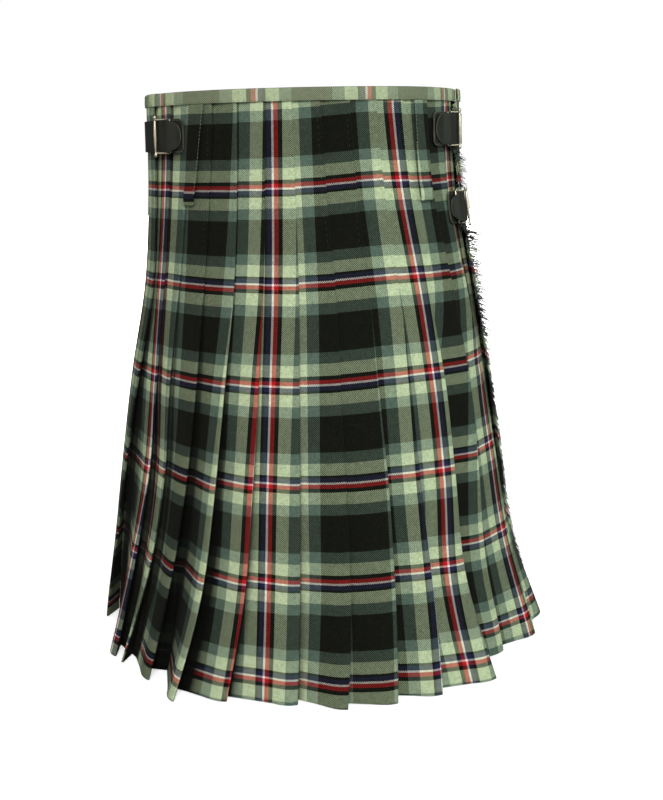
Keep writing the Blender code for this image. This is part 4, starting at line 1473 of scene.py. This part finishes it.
def tab_route(layers):
    """(length, out, share of the height) along a tab, from its sewn end to its turn round the bar."""
    back_end = layers["strap_tip"] + TAB_BEYOND_STRAP
    lift, loop = layers["lift"], layers["loop_radius"]
    route = []
    for back, share in ((0.0, 0.60), (0.0006, 0.76), (0.0016, 0.88), (0.0032, 0.96), (0.0055, 1.0)):
        route.append((back_end - back, layers["tab_out"] + lift * back / TAB_CLIMB, share))
    for length in spread(back_end - TAB_CLIMB, BUCKLE_WIDTH + loop, 6):
        route.append((length, layers["tab_out"] + lift, 1.0))
    for turn in map(math.radians, spread(0.0, 230.0, 15)):
        route.append((BUCKLE_WIDTH - loop * math.sin(turn), layers["rear_out"] - loop * math.cos(turn), 1.0))
    return route


def strap_end(layers):
    """The strap from its rounded tip, lying on the tab, up over the inner bar and down to the outer one."""
    strap_tip, over = layers["strap_tip"], layers["over_loop"]
    radius = STRAP_REACH
    settle = BUCKLE_WIDTH + 0.011
    route = []
    for share in (0.0, 0.01, 0.03, 0.07, 0.13, 0.21, 0.32, 0.45, 0.60, 0.78, 1.0):
        distance = min(radius, strap_tip - settle) * share
        low = layers["on_tab"] + layers["lift"] * min(1.0, (distance + TAB_BEYOND_STRAP) / TAB_CLIMB + 0.12)
        route.append((strap_tip - distance, low, rounded_share(distance, radius)))
    for length, lower in ((0.0085, 0.0030), (0.0055, 0.0012), (0.0028, 0.0002), (0.0, 0.0)):
        distance = strap_tip - BUCKLE_WIDTH - length
        route.append((BUCKLE_WIDTH + length, over - lower, rounded_share(distance, radius)))
    return route + [(BUCKLE_WIDTH - 0.0055, over - 0.0008, 1.0), (0.0, layers["under_bar"], 1.0)]


def strap_route(name, bar_angle, height, layers):
    """The whole strap: its end, then its way on to the over apron, or through the slit to the under one."""
    route = strap_end(layers)
    rest = layers["on_apron"]
    if name != "left":
        return route + [(-length, rest, 1.0) for length in spread(STRAP_LANDS, STRAP_ON_APRON, 10)]
    fold = angle_at(APRON_FOLD, height)
    per_metre = degrees_along(1.0, bar_angle, height)
    slit_back = (bar_angle - fold + SLIT_BACK) / per_metre + SLIT_ROOM
    slit_front = (bar_angle - fold + SLIT_FRONT) / per_metre - SLIT_ROOM
    inside = UNDER_APRON + CLOTH / 2 + STRAP_FIT + STRAP_LEATHER / 2
    route += [(-length, rest, 1.0) for length in spread(LEFT_STRAP_LANDS, slit_back, 8)]
    route += [(-length, inside, 1.0) for length in spread(slit_front, slit_front + STRAP_INSIDE_APRON, 8)]
    return route


print("stops along the left tab:", len(tab_route(layers)))

# %% [markdown]
# ## Straps and tabs
# Each piece of leather is a grid added as a primitive, one row of points across for each stop of its
# route, laid along the form, thickened, and given worn edges with a bevel. The cut edge has its own paler
# material, which also paints the highlight along the edges.

# %% Straps and tabs
LEATHER_ROWS = 9
WORN_EDGE = 0.0006
TAB_SEAM_FROM, TAB_SEAM_TO = 0.0012, 0.016
TAB_SEAM_INSET = 0.0004
TAB_STITCH_STEP, TAB_STITCH = 0.0032, 0.0021


def add_bevel(obj, name, width):
    rounded = obj.modifiers.new(name, "BEVEL")
    rounded.width = width
    rounded.segments = 2
    rounded.limit_method = "ANGLE"
    rounded.angle_limit = math.radians(60)
    return rounded


def lay_leather(name, route, place, reach, thickness, leather):
    """A strap from a grid primitive: its points are laid along the route, then it gets its thickness."""
    bar_angle, toward_back, height = place
    deselect_all()
    bpy.ops.mesh.primitive_grid_add(x_subdivisions=len(route) - 1, y_subdivisions=LEATHER_ROWS - 1, size=1.0)
    obj = bpy.context.object
    obj.name = name
    for vertex in obj.data.vertices:
        length, out, share = route[round((vertex.co.x + 0.5) * (len(route) - 1))]
        rise = 2 * vertex.co.y * reach * share
        vertex.co = along_form(bar_angle, toward_back, length, height, rise, out)
    face_outwards(obj)
    obj.data.materials.append(leather)
    obj.data.materials.append(edge_and_highlight_leather)
    solid = obj.modifiers.new("thickness", "SOLIDIFY")
    solid.thickness = thickness
    solid.offset = 0.0
    solid.use_even_offset = True
    solid.material_offset_rim = 1
    add_bevel(obj, "worn_edge", WORN_EDGE).material = 1
    finish_mesh(obj, 45)
    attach(obj, "root")
    return obj


def tab_stitches(route, place):
    """Waxed stitches round the sewn end of a tab, a little in from its edge."""
    bar_angle, toward_back, height = place
    reach = STRAP_REACH - TAB_SEAM_INSET
    back_end, out = route[0][0], route[0][1] + TAB_LEATHER / 2 + STITCH_OUT
    stitches = []
    for rise in (-reach, reach):
        length = back_end - TAB_SEAM_FROM
        while length > back_end - TAB_SEAM_TO:
            first = along_form(bar_angle, toward_back, length, height, rise, out)
            second = along_form(bar_angle, toward_back, length - TAB_STITCH, height, rise, out)
            stitches.append((first, second, outward_at(bar_angle, height)))
            length -= TAB_STITCH_STEP
    return stitches


for name, bar_angle, tip_angle, height, lift in FASTENINGS:
    layers = fastening_frame(bar_angle, tip_angle, height, lift)
    place = (bar_angle, layers["toward_back"], height)
    route = tab_route(layers)
    tab = lay_leather("shaded_tab_leather_" + name, route, place, TAB_REACH, TAB_LEATHER, shaded_tab_leather)
    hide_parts("buckle_tab_" + name)
    seam = sew("tab_stitches_" + name, tab_stitches(route, place), pale_thread)
    route = strap_route(name, bar_angle, height, layers)
    strap = lay_leather("strap_leather_" + name, route, place, STRAP_REACH, STRAP_LEATHER, strap_leather)
    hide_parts("strap_" + name)
    print(name, "strap, metres along:", round(route[0][0] - route[-1][0], 3))

# %% [markdown]
# ## Nickel plate
# Plated brass is yellow under a thin grey skin, so its tone wanders between the two where fingers polish
# it. Fine scratches are too small to model and are left to a bump.


# %% Metal
def make_metal():
    material, tree, shader = start_material("nickel_plate", {"Metallic": 1.0})
    place = object_place(tree)
    tarnish = noise(tree, place, 60.0, 3.0, 0.5)
    scratch = noise(tree, place, 1600.0, 2.0, 0.5)
    plate = mix_colours(tree, tarnish, (0.46, 0.40, 0.29, 1.0), (0.62, 0.56, 0.43, 1.0))
    feed(tree, shader.inputs["Base Color"], plate)
    feed(tree, shader.inputs["Roughness"], maths(tree, "MULTIPLY_ADD", tarnish, 0.20, 0.28))
    add_bump(tree, shader, scratch, 0.06, 0.0001)
    return material


nickel_plate = make_metal()
print("metal:", nickel_plate.name)

# %% [markdown]
# ## Buckles
# Each buckle is cast brass, nickel plated: an inner bar held in the tab's turn, two short sides, and an
# outer bar that swells in the middle and ends in little domed beads. The outer bar is a short cylinder
# whose ends are extruded and scaled again and again, which is how such a turned shape is drawn by hand.

# %% Buckles
# Radius at each distance from the outer bar's middle: the swell, the neck, the bead and its dome.
BAR_PROFILE = (
    (0.0010, 0.00185),
    (0.0060, 0.00175),
    (0.0120, 0.00145),
    (0.0155, 0.00110),
    (0.0166, 0.00095),
    (0.0174, 0.00150),
    (0.0184, 0.00185),
    (0.0196, 0.00185),
    (0.0206, 0.00140),
    (0.0211, 0.00070),
)
INNER_BAR_RADIUS = 0.0012
SIDE_RADIUS = 0.0008
SIDE_START = 0.0006
SIDE_REACH = STRAP_REACH + 0.0009
SOFT_EDGE = 0.0002


def rod(start, end, radius, sides=12):
    """A cylinder primitive from start to end, left active and in object mode."""
    deselect_all()
    direction = end - start
    turn = direction.to_track_quat("Z", "Y").to_euler()
    middle = (start + end) / 2
    bpy.ops.mesh.primitive_cylinder_add(
        vertices=sides, radius=radius, depth=direction.length, location=middle, rotation=turn
    )
    bpy.ops.object.transform_apply(location=True, rotation=True, scale=True)
    return bpy.context.object


def select_end(bar, middle, direction, reach):
    """Leaves only the faces at this end of the bar selected, in edit mode."""
    bpy.ops.object.mode_set(mode="EDIT")
    bpy.ops.mesh.select_mode(type="FACE")
    bpy.ops.mesh.select_all(action="DESELECT")
    bpy.ops.object.mode_set(mode="OBJECT")
    for polygon in bar.data.polygons:
        faces_out = polygon.normal.dot(direction) > 0.9
        polygon.select = faces_out and (polygon.center - middle).dot(direction) > reach * 0.9
    bpy.ops.object.mode_set(mode="EDIT")


def turned_bar(middle, along):
    """The swelling outer bar: a short cylinder whose two ends are extruded and scaled stop by stop."""
    first_reach, first_radius = BAR_PROFILE[0]
    bar = rod(middle - along * first_reach, middle + along * first_reach, first_radius, 16)
    for direction in (along, -along):
        select_end(bar, middle, direction, first_reach)
        reach, radius = BAR_PROFILE[0]
        for next_reach, next_radius in BAR_PROFILE[1:]:
            step = direction * (next_reach - reach)
            bpy.ops.mesh.extrude_region_move(TRANSFORM_OT_translate={"value": step})
            scale = [next_radius / radius] * 3
            bpy.ops.transform.resize(value=scale, center_override=middle + direction * next_reach)
            reach, radius = next_reach, next_radius
        bpy.ops.object.mode_set(mode="OBJECT")
    return bar


def make_buckle(name, bar_angle, tip_angle, height, lift):
    layers = fastening_frame(bar_angle, tip_angle, height, lift)
    bar_out, inner_out = layers["bar_out"], layers["rear_out"]
    half = BUCKLE_HEIGHT / 2 - 0.0014

    def place(length, rise, out):
        return along_form(bar_angle, layers["toward_back"], length, height, rise, out)

    def inner(rise):
        return place(BUCKLE_WIDTH, rise, inner_out)

    top, bottom = place(0.0, half, bar_out), place(0.0, -half, bar_out)
    pieces = [turned_bar((top + bottom) / 2, (top - bottom).normalized())]
    pieces.append(rod(inner(SIDE_REACH), inner(-SIDE_REACH), INNER_BAR_RADIUS))
    for rise in (SIDE_REACH, -SIDE_REACH):
        pieces.append(rod(place(SIDE_START, rise, bar_out), inner(rise), SIDE_RADIUS))
    deselect_all()
    for piece in pieces:
        piece.select_set(True)
    bpy.context.view_layer.objects.active = pieces[0]
    bpy.ops.object.join()
    buckle = bpy.context.object
    buckle.name = "cast_buckle_" + name
    buckle.data.materials.clear()
    buckle.data.materials.append(nickel_plate)
    bpy.ops.object.origin_set(type="ORIGIN_CURSOR")
    add_bevel(buckle, "soft_edges", SOFT_EDGE)
    finish_mesh(buckle, 60)
    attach(buckle, "root")
    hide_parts("buckle_" + name)
    return buckle


buckles = [make_buckle(*values) for values in FASTENINGS]
print("buckles:", len(buckles))

# %% [markdown]
# ## The studio
# A plain pale floor and soft light from large panels show cloth best: hard light would fill the twill with
# noise, and a flat sky alone would hide the folds. The main panel stands high up behind the camera, so that
# the pleats shade each other, dimmer ones stand at the sides, and one lights the aprons from the front. The
# room is dim but looks white to the camera, and so does the floor, which only glows for the camera.

# %% Floor
FLOOR_HEIGHT = -LENGTH - 0.0015
FLOOR_SIZE = 12.0
FLOOR_PLACE = (0.0, 2.0, FLOOR_HEIGHT)
FLOOR_GLOW = 0.40
GLOW_PER_METRE = 0.9
PAPER_LIT = (0.35, 0.35, 0.35, 1.0)
PAPER_SEEN = ((0.88, 0.88, 0.88, 1.0), (0.92, 0.92, 0.92, 1.0))


def make_floor():
    deselect_all()
    bpy.ops.mesh.primitive_plane_add(size=FLOOR_SIZE, location=FLOOR_PLACE)
    floor = bpy.context.object
    floor.name = "studio_floor"
    bpy.ops.object.transform_apply(location=True, rotation=True, scale=True)
    finish = {"Roughness": 0.85, "Specular IOR Level": 0.1, "Emission Strength": 1.0}
    material, tree, shader = start_material("studio_paper", finish)
    place = object_place(tree)
    seen = add_node(tree, "ShaderNodeLightPath").outputs["Is Camera Ray"]
    tone = noise(tree, place, 3.0, 2.0, 0.5)
    paper = mix_colours(tree, seen, PAPER_LIT, mix_colours(tree, tone, *PAPER_SEEN))
    away = add_node(tree, "ShaderNodeVectorMath", operation="LENGTH")
    feed(tree, away.inputs[0], place)
    far = maths(tree, "MULTIPLY_ADD", away.outputs["Value"], GLOW_PER_METRE, FLOOR_GLOW - 0.5)
    glow = maths(tree, "MULTIPLY", maths(tree, "MAXIMUM", far, FLOOR_GLOW), seen)
    feed_all(tree, shader, {"Base Color": paper, "Emission Color": grey_of(tree, glow)})
    floor.data.materials.append(material)
    return floor


print("floor:", make_floor().name)

# %% [markdown]
# ## Lights and room
# Each panel is a square area light: the larger it is, the softer the edges of its shadows. None of them
# shows to the camera. The world is the room's own dim light, but where the camera looks straight at it, it
# is plain white.

# %% Lights and room
# Name, place, the point that it is turned to, the length of its sides, watts and colour.
PANELS = (
    ("key_panel", (0.1, -2.5, 1.1), (0.0, 0.0, -0.3), 1.2, 78.0, (1.0, 1.0, 1.0)),
    ("side_panel", (2.3, -1.0, 0.5), (0.0, 0.0, -0.3), 1.2, 28.0, (0.86, 1.0, 0.98)),
    ("fill_panel", (-2.2, -1.0, 0.5), (0.0, 0.0, -0.2), 1.2, 12.0, (1.0, 1.0, 1.0)),
    ("front_panel", (0.3, 2.6, 0.9), (0.0, 0.0, -0.3), 1.4, 45.0, (1.0, 1.0, 1.0)),
)
ROOM_LIGHT = 0.15


def add_panel(name, place, target, size, watts, colour):
    data = bpy.data.lights.new(name, "AREA")
    data.shape = "SQUARE"
    data.size = size
    data.energy = watts
    data.color = colour
    panel = bpy.data.objects.new(name, data)
    bpy.context.scene.collection.objects.link(panel)
    panel.location = place
    panel.rotation_euler = (Vector(target) - Vector(place)).to_track_quat("-Z", "Y").to_euler()
    panel.visible_camera = False


def make_world():
    """A dim even room whose wall, where the camera looks at it, is plain white."""
    world = bpy.data.worlds.new("pale_room")
    world.use_nodes = True
    tree = world.node_tree
    seen = add_node(tree, "ShaderNodeLightPath").outputs["Is Camera Ray"]
    strength = maths(tree, "MULTIPLY_ADD", seen, 1.0 - ROOM_LIGHT, ROOM_LIGHT)
    feed_all(tree, tree.nodes["Background"], {"Color": (1.0, 1.0, 1.0, 1.0), "Strength": strength})
    bpy.context.scene.world = world


for values in PANELS:
    add_panel(*values)
make_world()
bpy.context.scene.view_settings.view_transform = "Standard"
print("lights:", len(PANELS))

# %% [markdown]
# ## Finish
# The last step leaves nothing selected and brings the scene up to date.

# %% Finish
deselect_all()
bpy.context.view_layer.update()
